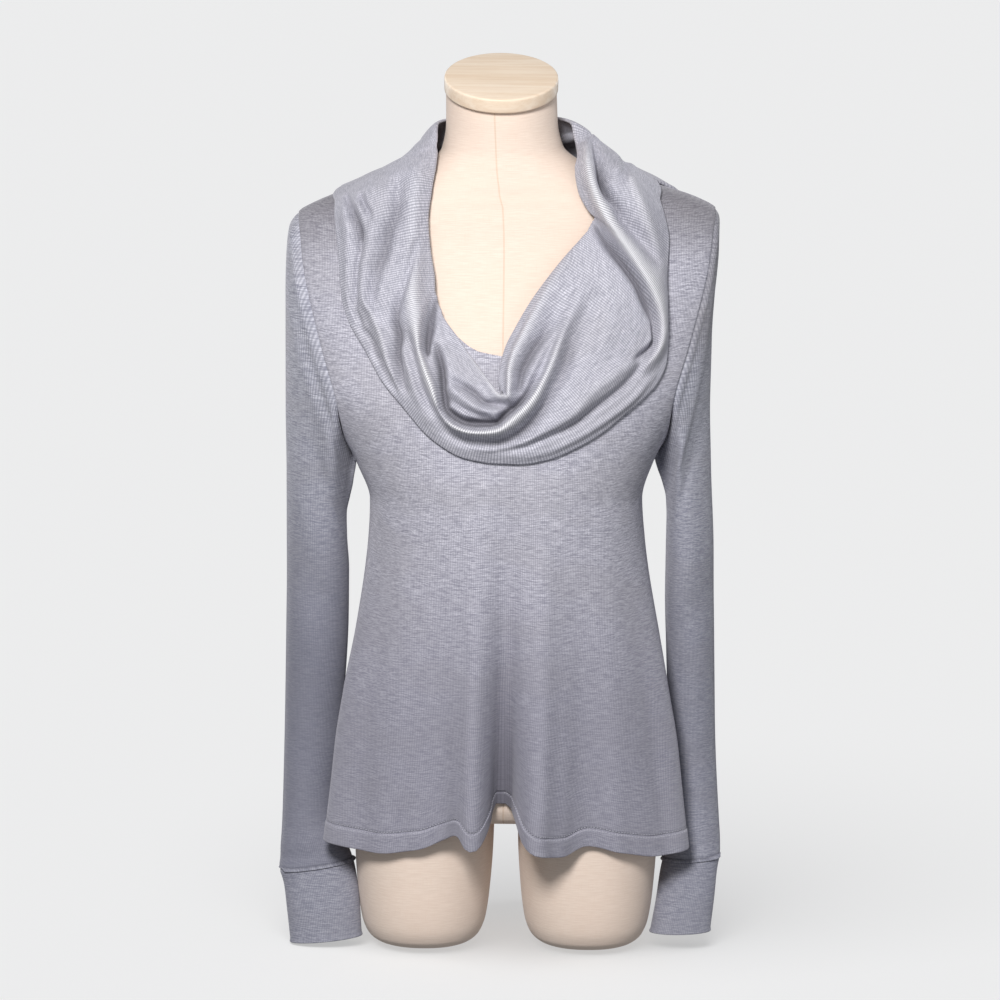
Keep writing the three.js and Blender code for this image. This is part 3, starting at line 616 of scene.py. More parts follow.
# The cowl is one wide band round the neck. Each row is a section across it, named by a
# turn round the neck. In front its two edges are given by how far they lie from the
# drawing's middle and by their height over the sweater, and behind by the turn and their
# height. Lifts say how far the band stands off the sweater.
cowl_section = table(
    ["turn", "inner_x", "inner_height", "outer_x", "outer_height", "inner_lift", "bulge"],
    [
        [-180, -90, 826, -180, 702, 4, 16], [-135, -90, 826, -180, 722, 4, 16],
        [-108, -80, 825, -170, 756, 4, 14], [-90, -56.5, 824, -156, 757, 4, 13],
        [-80, -57, 806, -160, 749, 4, 13], [-72, -59, 786, -160, 740, 4, 13],
        [-65, -64, 763, -159, 728, 4, 13], [-58, -67, 735, -157, 711, 5, 12],
        [-52, -65, 707, -155, 690, 5, 12], [-46, -61, 682, -152, 662, 5, 12],
        [-40, -59, 659, -144, 637, 6, 12], [-34, -50, 641, -128, 611, 6, 13],
        [-28, -38, 624, -112, 584, 6, 13], [-21, -24, 604, -90, 559, 7, 15],
        [-14, -11, 586, -62, 529, 8, 15], [-7, -1, 573, -30, 511, 9, 15],
        [0, 4, 569, -1, 506, 10, 15], [6, 4, 571, 25, 505, 10, 15], [12, 0, 583, 50, 509, 10, 15],
        [18, 2, 598, 76, 519, 9, 15], [24, 8, 617, 100, 532, 8, 15], [30, 17, 634, 121, 548, 7, 15],
        [36, 30, 656, 142, 564, 6, 15], [42, 46, 678, 155, 577, 6, 14],
        [48, 64, 700, 163.5, 597, 5, 14], [53, 80, 717, 165, 622, 5, 13],
        [57, 90, 729, 165, 648, 5, 13], [61, 92, 735, 164, 670, 5, 14],
        [65, 86, 741, 165, 691, 5, 15], [70, 79, 752, 166, 712, 5, 16],
        [75, 74, 764, 162, 733, 5, 17], [80, 71, 780, 157, 748, 4, 18],
        [84, 69, 797, 154, 760, 4, 20], [87, 65.5, 811, 153, 761.5, 4.5, 21],
        [90, 64.4, 824, 151.4, 762, 4, 21], [108, 90, 825, 170, 759, 4, 18],
        [135, 90, 826, 180, 722, 4, 16],
    ],
    360,
)
COWL_EDGE_LIFT = COWL_CLOTH + 1.3
COWL_STATIONS = 464
COWL_ACROSS = 96
COWL_FRONT = 96  # stations lie closer up to this turn
COWL_FRONT_DENSER = 1.8
SHOULDER_TURN = 80.0  # past this turn its front's folds fade and its edges follow the turn
FOLDS_OVER = 12.0
EDGES_OVER = 10.0
EASED_ROWS = 9
BULGE_POWER = 0.8  # under one, the band is fullest near its inner edge
RIDGES = 1.3  # how far the drawn ridges and creases are followed
CREASES = 2.0
EDGE_ROUND = 4.0  # over this width the cowl's folded edges turn in by this share of it
EDGE_TURN_IN = 0.35
GRAIN_ACROSS = 0.4  # the place across the band where its wales are counted
SETTLE = 3.0  # over this height the cloth's folds ease onto the sweater
FOLD_STEP = 1.5  # from point to point along a drawn fold
FOLD_REACH = 32.0  # points farther from a drawn fold aren't moved by it
CHUNK = 4000  # points taken at once

# Folds of the cowl's front, drawn: rows of x, z, half width on the inner and the
# outer side, and how far the fold stands out. A few lean inwards, by a share of that push.
FOLD_LEANS = {"big roll": 0.1, "strip crest": 0.4, "inner edge": 0.2}
FRONT_FOLDS = {
    "big roll": [
        [-92, 690, 10, 12, 0], [-80, 650, 9, 12, 6], [-77, 621, 6, 11, 10], [-73, 601, 5, 11, 12],
        [-63, 577, 5, 10, 12], [-55, 555, 5, 9, 12], [-41, 542, 5, 9, 12], [-21, 537, 5, 9, 12],
        [-1, 540, 5, 9, 12], [21, 556, 5, 9, 11], [38, 574, 5, 9, 10], [49, 593, 6, 9, 9],
        [59, 619, 6, 9, 7], [68, 637, 7, 9, 5], [81, 669, 8, 10, 3], [92, 690, 9, 10, 0],
    ],
    "roll inside": [
        [-60, 668, 4, 4, 0], [-62, 656, 5, 5, -6], [-67, 636, 5, 5, -10], [-70, 615, 4, 4, -10],
        [-70, 607, 4, 4, -3], [-68, 598, 4, 4, 0],
    ],
    "second inside": [
        [-63, 624, 4, 4, 0], [-58, 612, 4, 4, -6], [-54, 596, 4, 4, -9], [-53, 580, 5, 4, -10],
        [-52, 562, 6, 4, -10], [-44, 553, 6, 4, -10], [-30, 547, 6, 4, -10], [-10, 546, 6, 4, -10],
        [1, 548, 5, 4, -10], [7, 554, 5, 4, -9], [23, 568, 5, 4, -8], [34, 584, 4, 4, -5],
        [44, 599, 4, 4, -3], [54, 623, 4, 4, -2], [64, 655, 4, 4, 0],
    ],
    "roll outside": [
        [-90, 640, 5, 5, 0], [-82, 611, 5, 6, -5], [-75, 586, 5, 6, -6], [-68, 569, 5, 6, -7],
        [-59, 554, 5, 6, -7], [-45, 538, 5, 7, -7], [-27, 531, 5, 7, -7], [-4, 530, 5, 7, -6],
        [19, 538, 5, 8, -6], [42, 561, 5, 8, -6], [56, 587, 6, 9, -6], [65, 606, 6, 9, -6],
        [74, 632, 7, 9, -5], [85, 650, 8, 9, -3], [95, 670, 8, 9, 0],
    ],
    "panel upper": [
        [-46, 590, 3, 3, 0], [-40, 587, 3, 4, -3], [-24, 578, 3, 4, -5], [-10, 567, 3, 4, -5],
        [8, 565, 3, 3, -3], [16, 572, 3, 3, 0],
    ],
    "panel ridge": [
        [-56, 590, 4, 4, 0], [-53, 584, 4, 4, 2], [-39, 576, 4, 4, 3], [-21, 564, 4, 4, 3],
        [1, 559, 4, 4, 2], [12, 562, 3, 3, 0],
    ],
    "panel lower": [
        [-53, 576, 3, 3, 0], [-33, 562, 3, 3, -3], [-15, 555, 3, 3, -3], [-1, 553, 3, 3, 0],
    ],
    "inner edge": [
        [-54, 646, 3, 4, 0], [-40, 625, 3, 4, 3], [-22, 600, 3, 4, 5], [-10, 585, 3, 4, 6],
        [4, 571, 3, 5, 8], [11, 571, 3, 5, 8], [13, 580, 4, 5, 8], [13, 591, 4, 5, 8],
        [17, 609, 5, 6, 7], [27, 629, 5, 7, 7], [39, 651, 6, 7, 6], [50, 671, 6, 8, 5],
        [66, 696, 6, 8, 3], [84, 720, 6, 8, 0],
    ],
    "right crease": [
        [14, 574, 3, 4, 0], [21, 581, 4, 4, -5], [24, 596, 4, 4, -6], [33, 614, 4, 5, -6],
        [43, 628, 4, 6, -5], [51, 640, 5, 6, -3], [62, 660, 5, 6, 0],
    ],
    "right thin": [
        [28, 586, 3, 3, 0], [32, 594, 3, 3, 2], [42, 614, 3, 3, 2.5], [56, 634, 3, 4, 2],
        [64, 648, 3, 4, 0],
    ],
    "lower ridge": [
        [-30, 522, 3, 3, 0], [-6, 521, 4, 3, 2], [24, 528, 5, 4, 2.5], [49, 541, 6, 5, 3],
        [75, 558, 8, 6, 4], [91, 575, 9, 7, 4], [111, 590, 9, 7, 4], [130, 603, 8, 6, 3],
        [142, 612, 6, 5, 0],
    ],
    "lower valley": [
        [-10, 519, 3, 4, 0], [17, 522, 4, 4, -2], [52, 535, 4, 4, -3], [76, 546, 4, 4, -4],
        [99, 563, 4, 4, -4], [122, 580, 4, 4, -4], [138, 596, 4, 4, -2], [146, 604, 4, 4, 0],
    ],
    "lowest ridge": [
        [10, 511, 4, 4, 0], [41, 516, 4, 4, 1.5], [75, 530, 4, 4, 2.5], [111, 552, 4, 4, 3],
        [129, 565, 4, 4, 3], [146, 582, 4, 4, 2], [156, 592, 4, 4, 0],
    ],
    "pleat outer": [
        [-150, 758, 3, 3, 0], [-148, 752, 3, 3, -4], [-140, 735, 3, 4, -6], [-135, 720, 3, 4, -7],
        [-135, 709, 3, 3, -4], [-138, 689, 2.5, 2.5, -3], [-139, 671, 2.5, 2.5, -3],
        [-140, 648, 3, 3, -3], [-135, 638, 3, 3, -2], [-131, 621, 3, 3, 0],
    ],
    "pleat ridge": [
        [-141, 757, 3, 3, 0], [-136, 745, 3, 3, 2.5], [-131, 733, 3, 3, 0],
    ],
    "pleat inner": [
        [-136, 760, 3, 3, 0], [-134, 753, 3, 3, -3.5], [-128, 743, 3, 3, -3], [-124, 734, 3, 3, 0],
    ],
    "left outer ridge": [
        [-156, 752, 4, 4, 0], [-150, 735, 5, 6, 3], [-147, 710, 5, 6, 3], [-147, 685, 4, 5, 2.5],
        [-147, 660, 3, 4, 2], [-141, 640, 3, 3, 0],
    ],
    "left ridge": [
        [-120, 745, 6, 6, 0], [-124, 715, 7, 7, 3], [-130, 690, 6, 6, 3], [-131, 665, 5, 5, 4],
        [-119, 640, 5, 5, 5], [-111, 619, 5, 5, 5], [-105, 598, 5, 4, 5], [-98, 583, 4, 4, 3],
        [-92, 569, 4, 4, 0],
    ],
    "left trough": [
        [-100, 778, 6, 6, 0], [-99, 765, 7, 7, -3], [-100, 743, 7, 8, -5], [-107, 726, 7, 8, -5],
        [-112, 703, 6, 7, -5], [-119, 685, 5, 6, -4], [-123, 662, 4, 5, -3], [-124, 649, 4, 4, 0],
    ],
    "left crease": [
        [-78, 720, 4, 4, 0], [-81, 708, 4, 4, -2], [-90, 675, 4, 4, -2.5], [-97, 657, 4, 5, -4],
        [-99, 642, 4, 5, -6], [-96, 626, 4, 5, -7], [-97, 611, 4, 5, -7], [-95, 599, 4, 4, -6],
        [-92, 581, 4, 4, -4], [-86, 569, 4, 4, 0],
    ],
    "left low ridge": [
        [-96, 630, 4, 4, 0], [-92, 612, 4, 4, 2], [-84, 592, 4, 4, 3], [-77, 572, 4, 4, 2.5],
        [-68, 557, 4, 4, 0],
    ],
    "left valley": [
        [-132, 632, 3, 4, 0], [-124, 621, 3, 4, -4], [-115, 604, 3, 4, -5], [-105, 584, 3, 4, -4],
        [-96, 570, 3, 3, 0],
    ],
    "left inner roll": [
        [-74, 800, 7, 9, 0], [-78, 775, 9, 12, 4], [-82, 745, 10, 13, 5], [-82, 710, 9, 12, 5],
        [-80, 680, 8, 12, 5], [-80, 660, 8, 12, 3], [-78, 640, 8, 12, 0],
    ],
    "strip crest": [
        [138, 592, 4, 5, 0], [146, 598, 5, 5, 5], [153, 605, 5, 5, 7], [160, 619, 6, 5, 8],
        [162, 632, 7, 5, 8], [160, 649, 7, 6, 9], [153, 668, 7, 7, 9], [147, 681, 7, 8, 10],
        [135, 701, 7, 9, 10], [120, 722, 7, 9, 10], [105, 744, 7, 9, 10], [92, 768, 7, 8, 9],
        [87, 783, 7, 8, 8], [81, 804, 7, 8, 5], [76, 818, 6, 7, 0],
    ],
    "strip inside": [
        [130, 603, 3, 3, 0], [139, 609, 3, 4, -4], [147, 614, 3, 4, -5], [153, 624, 3, 4, -6],
        [153, 639, 4, 4, -7], [149, 652, 5, 4, -8], [144, 664, 5, 4, -9], [139, 675, 5, 4, -9],
        [126, 693, 5, 4, -9], [111, 710, 5, 4, -8], [96, 728, 4, 4, -6], [90, 736, 4, 4, 0],
    ],
    "strip second": [
        [143, 615, 3, 3, 0], [149, 622, 3, 3, 2.5], [151, 633, 3, 3, 3], [148, 645, 3, 3, 2],
        [142, 656, 3, 3, 0],
    ],
    "strip outside": [
        [158, 690, 4, 5, 0], [154, 697, 4, 5, -2], [144, 712, 4, 5, -3], [132, 727, 4, 5, -4],
        [122, 739, 4, 5, -5], [115, 753, 4, 4, -6], [106, 764, 4, 4, -8], [102, 774, 4, 4, -9],
        [99, 789, 4, 4, -6], [95, 804, 4, 4, -2.5], [91, 815, 4, 4, 0],
    ],
    "right outer roll": [
        [164, 650, 8, 6, 0], [158, 690, 8, 6, 4], [150, 720, 9, 7, 5], [140, 745, 9, 8, 6],
        [128, 770, 9, 8, 6], [118, 784, 8, 8, 4], [112, 790, 8, 8, 0],
    ],
    "right notch": [
        [118, 765, 5, 5, 0], [121, 780, 5, 5, -3], [124, 794, 5, 5, -3],
    ],
    "right faint": [
        [90, 600, 6, 6, 0], [112, 640, 8, 8, 1.5], [120, 680, 8, 8, 0],
    ],
}

# Folds of the cowl's back run round it: turn, place across the band from its inner edge, half
# width across it and how far each stands out
BACK_FOLDS = [
    [(84, 0.3, 0.06, 0), (110, 0.34, 0.07, -5), (150, 0.3, 0.07, -4), (180, 0.34, 0.07, 0)],
    [(96, 0.64, 0.06, 0), (130, 0.6, 0.07, -5), (170, 0.66, 0.07, -4), (205, 0.62, 0.07, 0)],
    [(120, 0.46, 0.06, 0), (150, 0.48, 0.08, 3), (190, 0.5, 0.08, 3), (215, 0.5, 0.06, 0)],
    [(150, 0.82, 0.05, 0), (185, 0.8, 0.05, -3), (230, 0.82, 0.05, 0)],
    [(186, 0.42, 0.06, 0), (215, 0.4, 0.07, -5), (245, 0.46, 0.07, -4), (266, 0.4, 0.06, 0)],
    [(200, 0.7, 0.05, 0), (235, 0.68, 0.06, -4), (262, 0.64, 0.06, -4), (276, 0.62, 0.05, 0)],
]


def edge_angle(turn, x, height):
    """The angle at which an edge of the cowl lies on the body: in front it follows from x,
    and over the shoulders that eases into the turn itself."""
    reach = x - body_ring(height)["middle"]
    angle = np.sign(reach) * angle_at_reach(height, np.abs(reach))
    return mix(angle, turn, smooth((np.abs(turn) - SHOULDER_TURN) / EDGES_OVER))


def cowl_place(turn, across):
    """Angle and height on the body of a point of the cowl, and its lift without folds."""
    row = cowl_section(turn)
    inner = edge_angle(turn, row["inner_x"], row["inner_height"])
    outer = edge_angle(turn, row["outer_x"], row["outer_height"])
    height = mix(row["inner_height"], row["outer_height"], across)
    bulge = row["bulge"] * np.sin(np.pi * across**BULGE_POWER)
    return mix(inner, outer, across), height, mix(row["inner_lift"], COWL_EDGE_LIFT, across) + bulge


def cowl_turns():
    """Turns of the cowl's stations, at even steps along it and closer together in front."""
    turn = np.linspace(-180, 180, 3601)
    step = np.zeros(len(turn) - 1)
    for across in (0, 0.5, 1):
        angle, height, lift = cowl_place(turn, np.full(turn.shape, float(across)))
        p = body_point(angle, height) + body_normal(angle, height) * lift[:, None]
        step += np.linalg.norm(np.diff(p, axis=0), axis=1)
    step *= np.where(np.abs(turn[1:]) < COWL_FRONT, COWL_FRONT_DENSER, 1)
    at = np.concatenate([[0], np.cumsum(step)])
    return np.interp(np.linspace(0, at[-1], COWL_STATIONS, endpoint=False), at, turn)


def drawn_fold(p, rows):
    """How far one fold pushes each point of the cowl out, and where its inner side lies."""
    rows = np.array(rows, float)
    at = lengths(rows[:, :2])
    read = table(["at", "x", "z", "inner", "outer", "push"], np.column_stack([at, rows]).tolist())
    line = read(np.arange(0, at[-1], FOLD_STEP))
    path = np.stack([line["x"], line["z"]], -1)
    along = unit(np.gradient(path, axis=0))
    inward = np.stack([-along[:, 1], along[:, 0]], -1)
    push, side = np.zeros(len(p)), np.zeros((len(p), 2))
    low, high = path.min(0) - FOLD_REACH, path.max(0) + FOLD_REACH
    close = np.flatnonzero(((p > low) & (p < high)).all(1))
    for chunk in np.array_split(close, max(1, len(close) // CHUNK)):
        away = p[chunk, None, :] - path[None]
        distance = np.linalg.norm(away, axis=-1)
        nearest = distance.argmin(1)
        pick = np.arange(len(chunk))
        inside = (away[pick, nearest] * inward[nearest]).sum(1) > 0
        width = np.where(inside, line["inner"][nearest], line["outer"][nearest])
        push[chunk] = line["push"][nearest] * bell(distance[pick, nearest], 0, width)
        side[chunk] = inward[nearest]
    return push, side


def eased(values, reach):
    """Each row of a grid averaged with its neighbours on both sides, twice over."""
    span = 2 * reach + 1
    for _ in range(2):
        padded = np.pad(values, ((reach + 1, reach), (0, 0), (0, 0)), mode="edge")
        total = np.cumsum(padded, axis=0)
        values = (total[span:] - total[:-span]) / span
    return values


def cowl(name):
    across = np.linspace(1, 0, COWL_ACROSS)
    turn, across = np.broadcast_arrays(cowl_turns()[None, :], across[:, None])
    angle, height, lift = cowl_place(turn, across)
    ground, normal = body_point(angle, height), unit(eased(body_normal(angle, height), EASED_ROWS))
    base = ground + normal * lift[..., None]
    flat = base[..., [0, 2]].reshape(-1, 2)
    front = 1 - smooth((np.abs(turn) - SHOULDER_TURN) / FOLDS_OVER)
    # folds keeps how far the drawn folds push the cloth, for the knit's painted shade and highlight
    shift, folds = np.zeros(base.shape), np.zeros(turn.shape)
    for fold_name, rows in FRONT_FOLDS.items():
        push, side = drawn_fold(flat, rows)
        push = push.reshape(turn.shape) * front
        push = push * np.where(push > 0, RIDGES, CREASES)
        lift, folds = lift + push, folds + push
        lean = FOLD_LEANS.get(fold_name, 0)
        shift[..., [0, 2]] += side.reshape(*turn.shape, 2) * (lean * push)[..., None]
    for rows in BACK_FOLDS:
        where = np.where(turn < rows[0][0], turn + 360, turn)
        fold = table(["turn", "at", "wide", "push"], rows)(where)
        inside = (where >= rows[0][0]) & (where <= rows[-1][0])
        lift = lift + np.where(inside, fold["push"] * bell(across, fold["at"], fold["wide"]), 0)
    over = lift - COWL_EDGE_LIFT
    settled = SETTLE * np.exp((np.minimum(over, SETTLE) - SETTLE) / SETTLE)
    over = np.where(over > SETTLE, over, settled)
    shift -= normal * (shift * normal).sum(-1, keepdims=True)
    p = ground + normal * (COWL_EDGE_LIFT + over)[..., None] + shift
    normals = grid_normals(p, ring=True)
    width = lengths(p)
    near = np.clip(1 - np.minimum(width, width[-1] - width) / EDGE_ROUND, 0, 1)
    p = p - normals * (EDGE_ROUND * EDGE_TURN_IN * (1 - np.sqrt(1 - near**2)))[..., None]
    normals = grid_normals(p, ring=True)
    width = lengths(base)
    middle = base[int(GRAIN_ACROSS * COWL_ACROSS)]
    around = whole_wales(lengths(np.concatenate([middle, middle[:1]])), COWL_WALE)
    row, column = grid_corners(COWL_ACROSS, COWL_STATIONS, ring=True)
    quads = row * COWL_STATIONS + column % COWL_STATIONS
    uvs = np.stack([around[column], width[row, column % COWL_STATIONS]], -1) / 1000
    p, normals = p.reshape(-1, 3), normals.reshape(-1, 3)
    return wall(name, p, normals, quads, uvs, COWL_CLOTH, folds.ravel())


# The dress form

torso_ring = table(
    ["height", "middle", "width", "front", "back", "square", "lean"],
    [
        [128, 13, 118, 60, 70, 2.2, 0], [134, 13, 136, 69, 86, 2.2, 0],
        [146, 13, 147, 76, 98, 2.2, 0], [170, 13, 151, 80, 110, 2.2, 0],
        [205, 12, 152, 86, 114, 2.2, 0], [250, 12, 150, 93, 109, 2.2, 0],
        [300, 11, 140, 98, 97, 2.2, 0], [350, 11, 124, 96, 84, 2.2, 0],
        [400, 10, 113, 93, 77, 2.2, 0], [450, 9, 117, 104, 84, 2.3, 0],
        [500, 9, 127, 118, 95, 2.4, 0], [540, 8, 132, 124, 103, 2.4, 0],
        [575, 8, 137, 120, 108, 2.4, 0], [607, 8, 144, 105, 109, 2.3, 0],
        [650, 8, 160, 87, 106, 2.3, 0], [690, 8, 180, 74, 98, 2.3, 0],
        [715, 8, 192, 68, 90, 2.2, 0], [735, 8, 196, 65, 81, 2.2, 0],
        [744.6, 8, 187, 63, 78, 2.2, 0], [751.6, 7, 170, 62, 75, 2.2, 0],
        [758.6, 6, 148, 60, 71, 2.1, 0], [765.6, 6, 123, 59, 67, 2.1, 0],
        [773.6, 5, 100, 57, 66, 2, 0], [783, 4, 80, 55, 61, 2, 0], [800, 3, 60, 52, 56, 2, 0],
        [825, 2, 55, 52, 54, 2, 0.3], [856.2, 1, 54.5, 51, 54, 2, 1],
    ],
)
thigh_ring = table(
    ["height", "width", "front", "back"],
    [
        [FLOOR, 40, 45, 45],
        [FLOOR + 3, 50, 57, 57],
        [FLOOR + 11, 58, 69, 67],
        [20, 63, 76, 73], [50, 67, 81, 77], [95, 70, 85, 81], [140, 71, 87, 85], [190, 68, 84, 88],
    ],
)
THIGH_APART = 82.5
THIGH_MIDDLE = 13.5
THIGH_SQUARE = 2.2
FORM_COLUMNS = 144
NECK_TOP = 856.2
NECK_ROUND = 2.0  # where the cover turns in under the cap


def loft(p):
    """Points, faces and UVs of a closed solid through the rows of a ring grid."""
    rows, columns = p.shape[:2]
    row, column = grid_corners(rows, columns, ring=True)
    quads = row * columns + column % columns
    around = lengths(np.concatenate([p, p[:, :1]], 1), 1)
    around = around - around[:, -1:] / 2
    up = lengths(p).mean(1)
    uvs = np.stack([around[row, column], up[row]], -1) / 1000
    points = np.concatenate([p.reshape(-1, 3), [p[0].mean(0)], [p[-1].mean(0)]])
    c = np.arange(columns)
    following = (c + 1) % columns
    base = (rows - 1) * columns
    bottom = np.stack([0 * c + rows * columns, following, c], 1)
    top = np.stack([0 * c + rows * columns + 1, base + c, base + following], 1)
    caps = np.concatenate([bottom, top])
    cap_uvs = points[caps][:, :, :2] / 1000
    faces = [*quads.tolist(), *caps.tolist()]
    return points, faces, np.concatenate([uvs.reshape(-1, 2), cap_uvs.reshape(-1, 2)])


def dress_form(name):
    """The torso and the two thigh ends, as one object of three closed solids."""
    angle = np.linspace(-180, 180, FORM_COLUMNS, endpoint=False)
    collar = NECK_TOP - 3
    height = levels((128, 146, 12), (146, 735, 150), (735, collar, 58), (collar, NECK_TOP, 7))
    ring = torso_ring(np.repeat(height[:, None], FORM_COLUMNS, 1))
    rounding = np.clip((height - NECK_TOP) / NECK_ROUND + 1, 0, 1)
    rounding = NECK_ROUND * (1 - np.sqrt(1 - rounding**2))
    for key in ("width", "front", "back"):
        ring[key] = ring[key] - rounding[:, None]
    p = tilted(ring_point(ring, angle[None, :], height[:, None]))
    p[..., 2] -= TILT * (p[..., 0] - ORIGIN[0]) * ring["lean"]
    p[..., 2] += ring["lean"] * math.tan(math.radians(CAP_LEAN)) * (p[..., 1] - CAP_MIDDLE[1])
    parts = [loft(p)]
    low = levels((FLOOR, FLOOR + 12, 12), (FLOOR + 12, 190, 50))
    for side in (-1, 1):
        ring = thigh_ring(np.repeat(low[:, None], FORM_COLUMNS // 2, 1))
        ring["middle"] = THIGH_MIDDLE + side * THIGH_APART
        ring["square"] = THIGH_SQUARE
        points, faces, uvs = loft(ring_point(ring, angle[None, ::2], low[:, None]))
        parts.append((points, faces, uvs + [1.0, 0.0]))  # a metre away from the torso's seam
    points, faces, uvs, at = [], [], [], 0
    for part_points, part_faces, part_uvs in parts:
        points.append(part_points)
        faces += [[i + at for i in face] for face in part_faces]
        uvs.append(part_uvs)
        at += len(part_points)
    return mesh_object(name, np.concatenate(points), faces, np.concatenate(uvs), flat_caps=True)


def neck_cap(name):
    """The turned cap: a lathed profile with rounded rims, leaning to the front."""
    turn = np.radians(np.linspace(0, 90, 6))
    sine, cosine = CAP_EDGE * np.sin(turn), CAP_EDGE * np.cos(turn)
    low = zip(CAP_RADIUS - CAP_EDGE + sine, CAP_EDGE - cosine)
    high = zip(CAP_RADIUS - CAP_EDGE + cosine, CAP_THICK - CAP_EDGE + sine)
    profile = [(CAP_FLAT, 0.0), *low, *high, (CAP_FLAT, CAP_THICK)]
    angle = np.linspace(-np.pi, np.pi, 128, endpoint=False)
    p = np.array([[(r * math.sin(a), -r * math.cos(a), z) for a in angle] for r, z in profile])
    c, s = math.cos(math.radians(CAP_LEAN)), math.sin(math.radians(CAP_LEAN))
    lean = np.array([[1, 0, 0], [0, c, -s], [0, s, c]])
    points, faces, _ = loft(p @ lean.T + CAP_MIDDLE)
    return mesh_object(name, points, faces)


# Stitches

THREAD_PITCH = 3.2
THREAD_LENGTH = 0.72 * THREAD_PITCH
THREAD_RADIUS = 0.45
THREAD_SIDES = 5
# A thread's start, middle and end: its thickness and how far it stands out, in radii
THREAD_SECTIONS = [(0.35, -0.2), (1.0, 0.35), (0.35, -0.2)]


def stitches(name, path, out):
    """Short threads laid end to end along a path of points, each with its outward normal."""
    at = lengths(path)
    verts, faces = [], []
    for start in np.arange(THREAD_PITCH * 0.2, at[-1] - THREAD_PITCH, THREAD_PITCH):
        places = start + THREAD_LENGTH * np.array([0, 0.5, 1])
        middles, normals = (
            np.stack([np.interp(places, at, line[:, k]) for k in range(3)], 1) for line in (path, out)
        )
        along = unit(middles[2] - middles[0])
        base = len(verts)
        for middle, normal, (fat, rise) in zip(middles, unit(normals), THREAD_SECTIONS):
            side = np.cross(along, normal)
            for k in range(THREAD_SIDES):
                turn = 2 * math.pi * k / THREAD_SIDES
                over = normal * (rise + fat * math.cos(turn)) + side * fat * math.sin(turn)
                verts.append(middle + over * THREAD_RADIUS)
        ring = [base + k for k in range(THREAD_SIDES)]
        for a, b in zip(ring, ring[1:] + ring[:1]):
            for down in (0, THREAD_SIDES):
                faces.append([a + down, b + down, b + down + THREAD_SIDES, a + down + THREAD_SIDES])
        faces.append(ring[::-1])
        faces.append([k + 2 * THREAD_SIDES for k in ring])
    return mesh_object(name, np.array(verts), faces)


# Materials

LINEN_PITCH = 1.1  # millimetres from thread to thread


class Nodes:
    """A material's node tree, built by short calls. A text put in as a value is the hex code
    of a colour."""

    def __init__(self, name):
        self.material = bpy.data.materials.new(name)
        self.material.use_nodes = True
        self.tree = self.material.node_tree
        self.tree.nodes.clear()
        self.shader = self.add("ShaderNodeBsdfPrincipled")
        output = self.add("ShaderNodeOutputMaterial")
        self.tree.links.new(self.shader.outputs[0], output.inputs[0])

    def add(self, kind, inputs=(), **settings):
        node = self.tree.nodes.new(kind)
        for key, value in settings.items():
            setattr(node, key, value)
        for socket, value in zip(node.inputs, inputs):
            self.put(socket, value)
        return node

    def put(self, socket, value):
        if isinstance(value, bpy.types.NodeSocket):
            self.tree.links.new(value, socket)
        else:
            socket.default_value = rgb(value) if isinstance(value, str) else value

    def math(self, kind, a, b=0.0, c=0.0):
        return self.add("ShaderNodeMath", (a, b, c), operation=kind).outputs[0]

    def total(self, *terms):
        """The sum of values, each times its factor."""
        out = 0.0
        for value, factor in terms:
            out = self.math("MULTIPLY_ADD", value, factor, out)
        return out

    def wave(self, value, pitch, shift=0.0):
        return self.math("SINE", self.math("MULTIPLY_ADD", value, 2 * math.pi / pitch, shift))

    def cloth(self):
        """The two directions of the cloth, in millimetres."""
        uv = self.add("ShaderNodeUVMap", uv_map="cloth").outputs[0]
        u, v, _ = self.add("ShaderNodeSeparateXYZ", (uv,)).outputs
        return self.math("MULTIPLY", u, 1000.0), self.math("MULTIPLY", v, 1000.0)

    def noise(self, parts, scales, seed=0.0, detail=2.0, rough=0.5):
        """Noise over two or three values, each with its own scale. Two leave room for a seed."""
        scaled = [self.math("MULTIPLY", part, scale) for part, scale in zip(parts, scales)]
        node = self.add("ShaderNodeTexNoise")
        vector = self.add("ShaderNodeCombineXYZ", (*scaled, seed)).outputs[0]
        values = {"Vector": vector, "Scale": 1.0, "Detail": detail, "Roughness": rough}
        for key, value in values.items():
            self.put(node.inputs[key], value)
        return node.outputs["Fac"]

    def ramp(self, value, low, high, to_low=0.0, to_high=1.0):
        inputs = (value, low, high, to_low, to_high)
        return self.add("ShaderNodeMapRange", inputs, interpolation_type="SMOOTHSTEP").outputs[0]

    def blend(self, share, a, b):
        node = self.add("ShaderNodeMix", (share,), data_type="RGBA")
        self.put(node.inputs[6], a)
        self.put(node.inputs[7], b)
        return node.outputs[2]

    def bump(self, height, strength, distance):
        node = self.add("ShaderNodeBump")
        self.put(node.inputs["Height"], height)
        self.put(node.inputs["Strength"], strength)
        self.put(node.inputs["Distance"], distance)
        self.put(self.shader.inputs["Normal"], node.outputs[0])

    def set(self, **values):
        for key, value in values.items():
            self.put(self.shader.inputs[key.replace("_", " ")], value)


def rgb(code):
    """Linear colour from an sRGB hex code."""
    channels = [int(code[i : i + 2], 16) / 255 for i in (1, 3, 5)]
    return [*(v / 12.92 if v <= 0.04045 else ((v + 0.055) / 1.055) ** 2.4 for v in channels), 1.0]


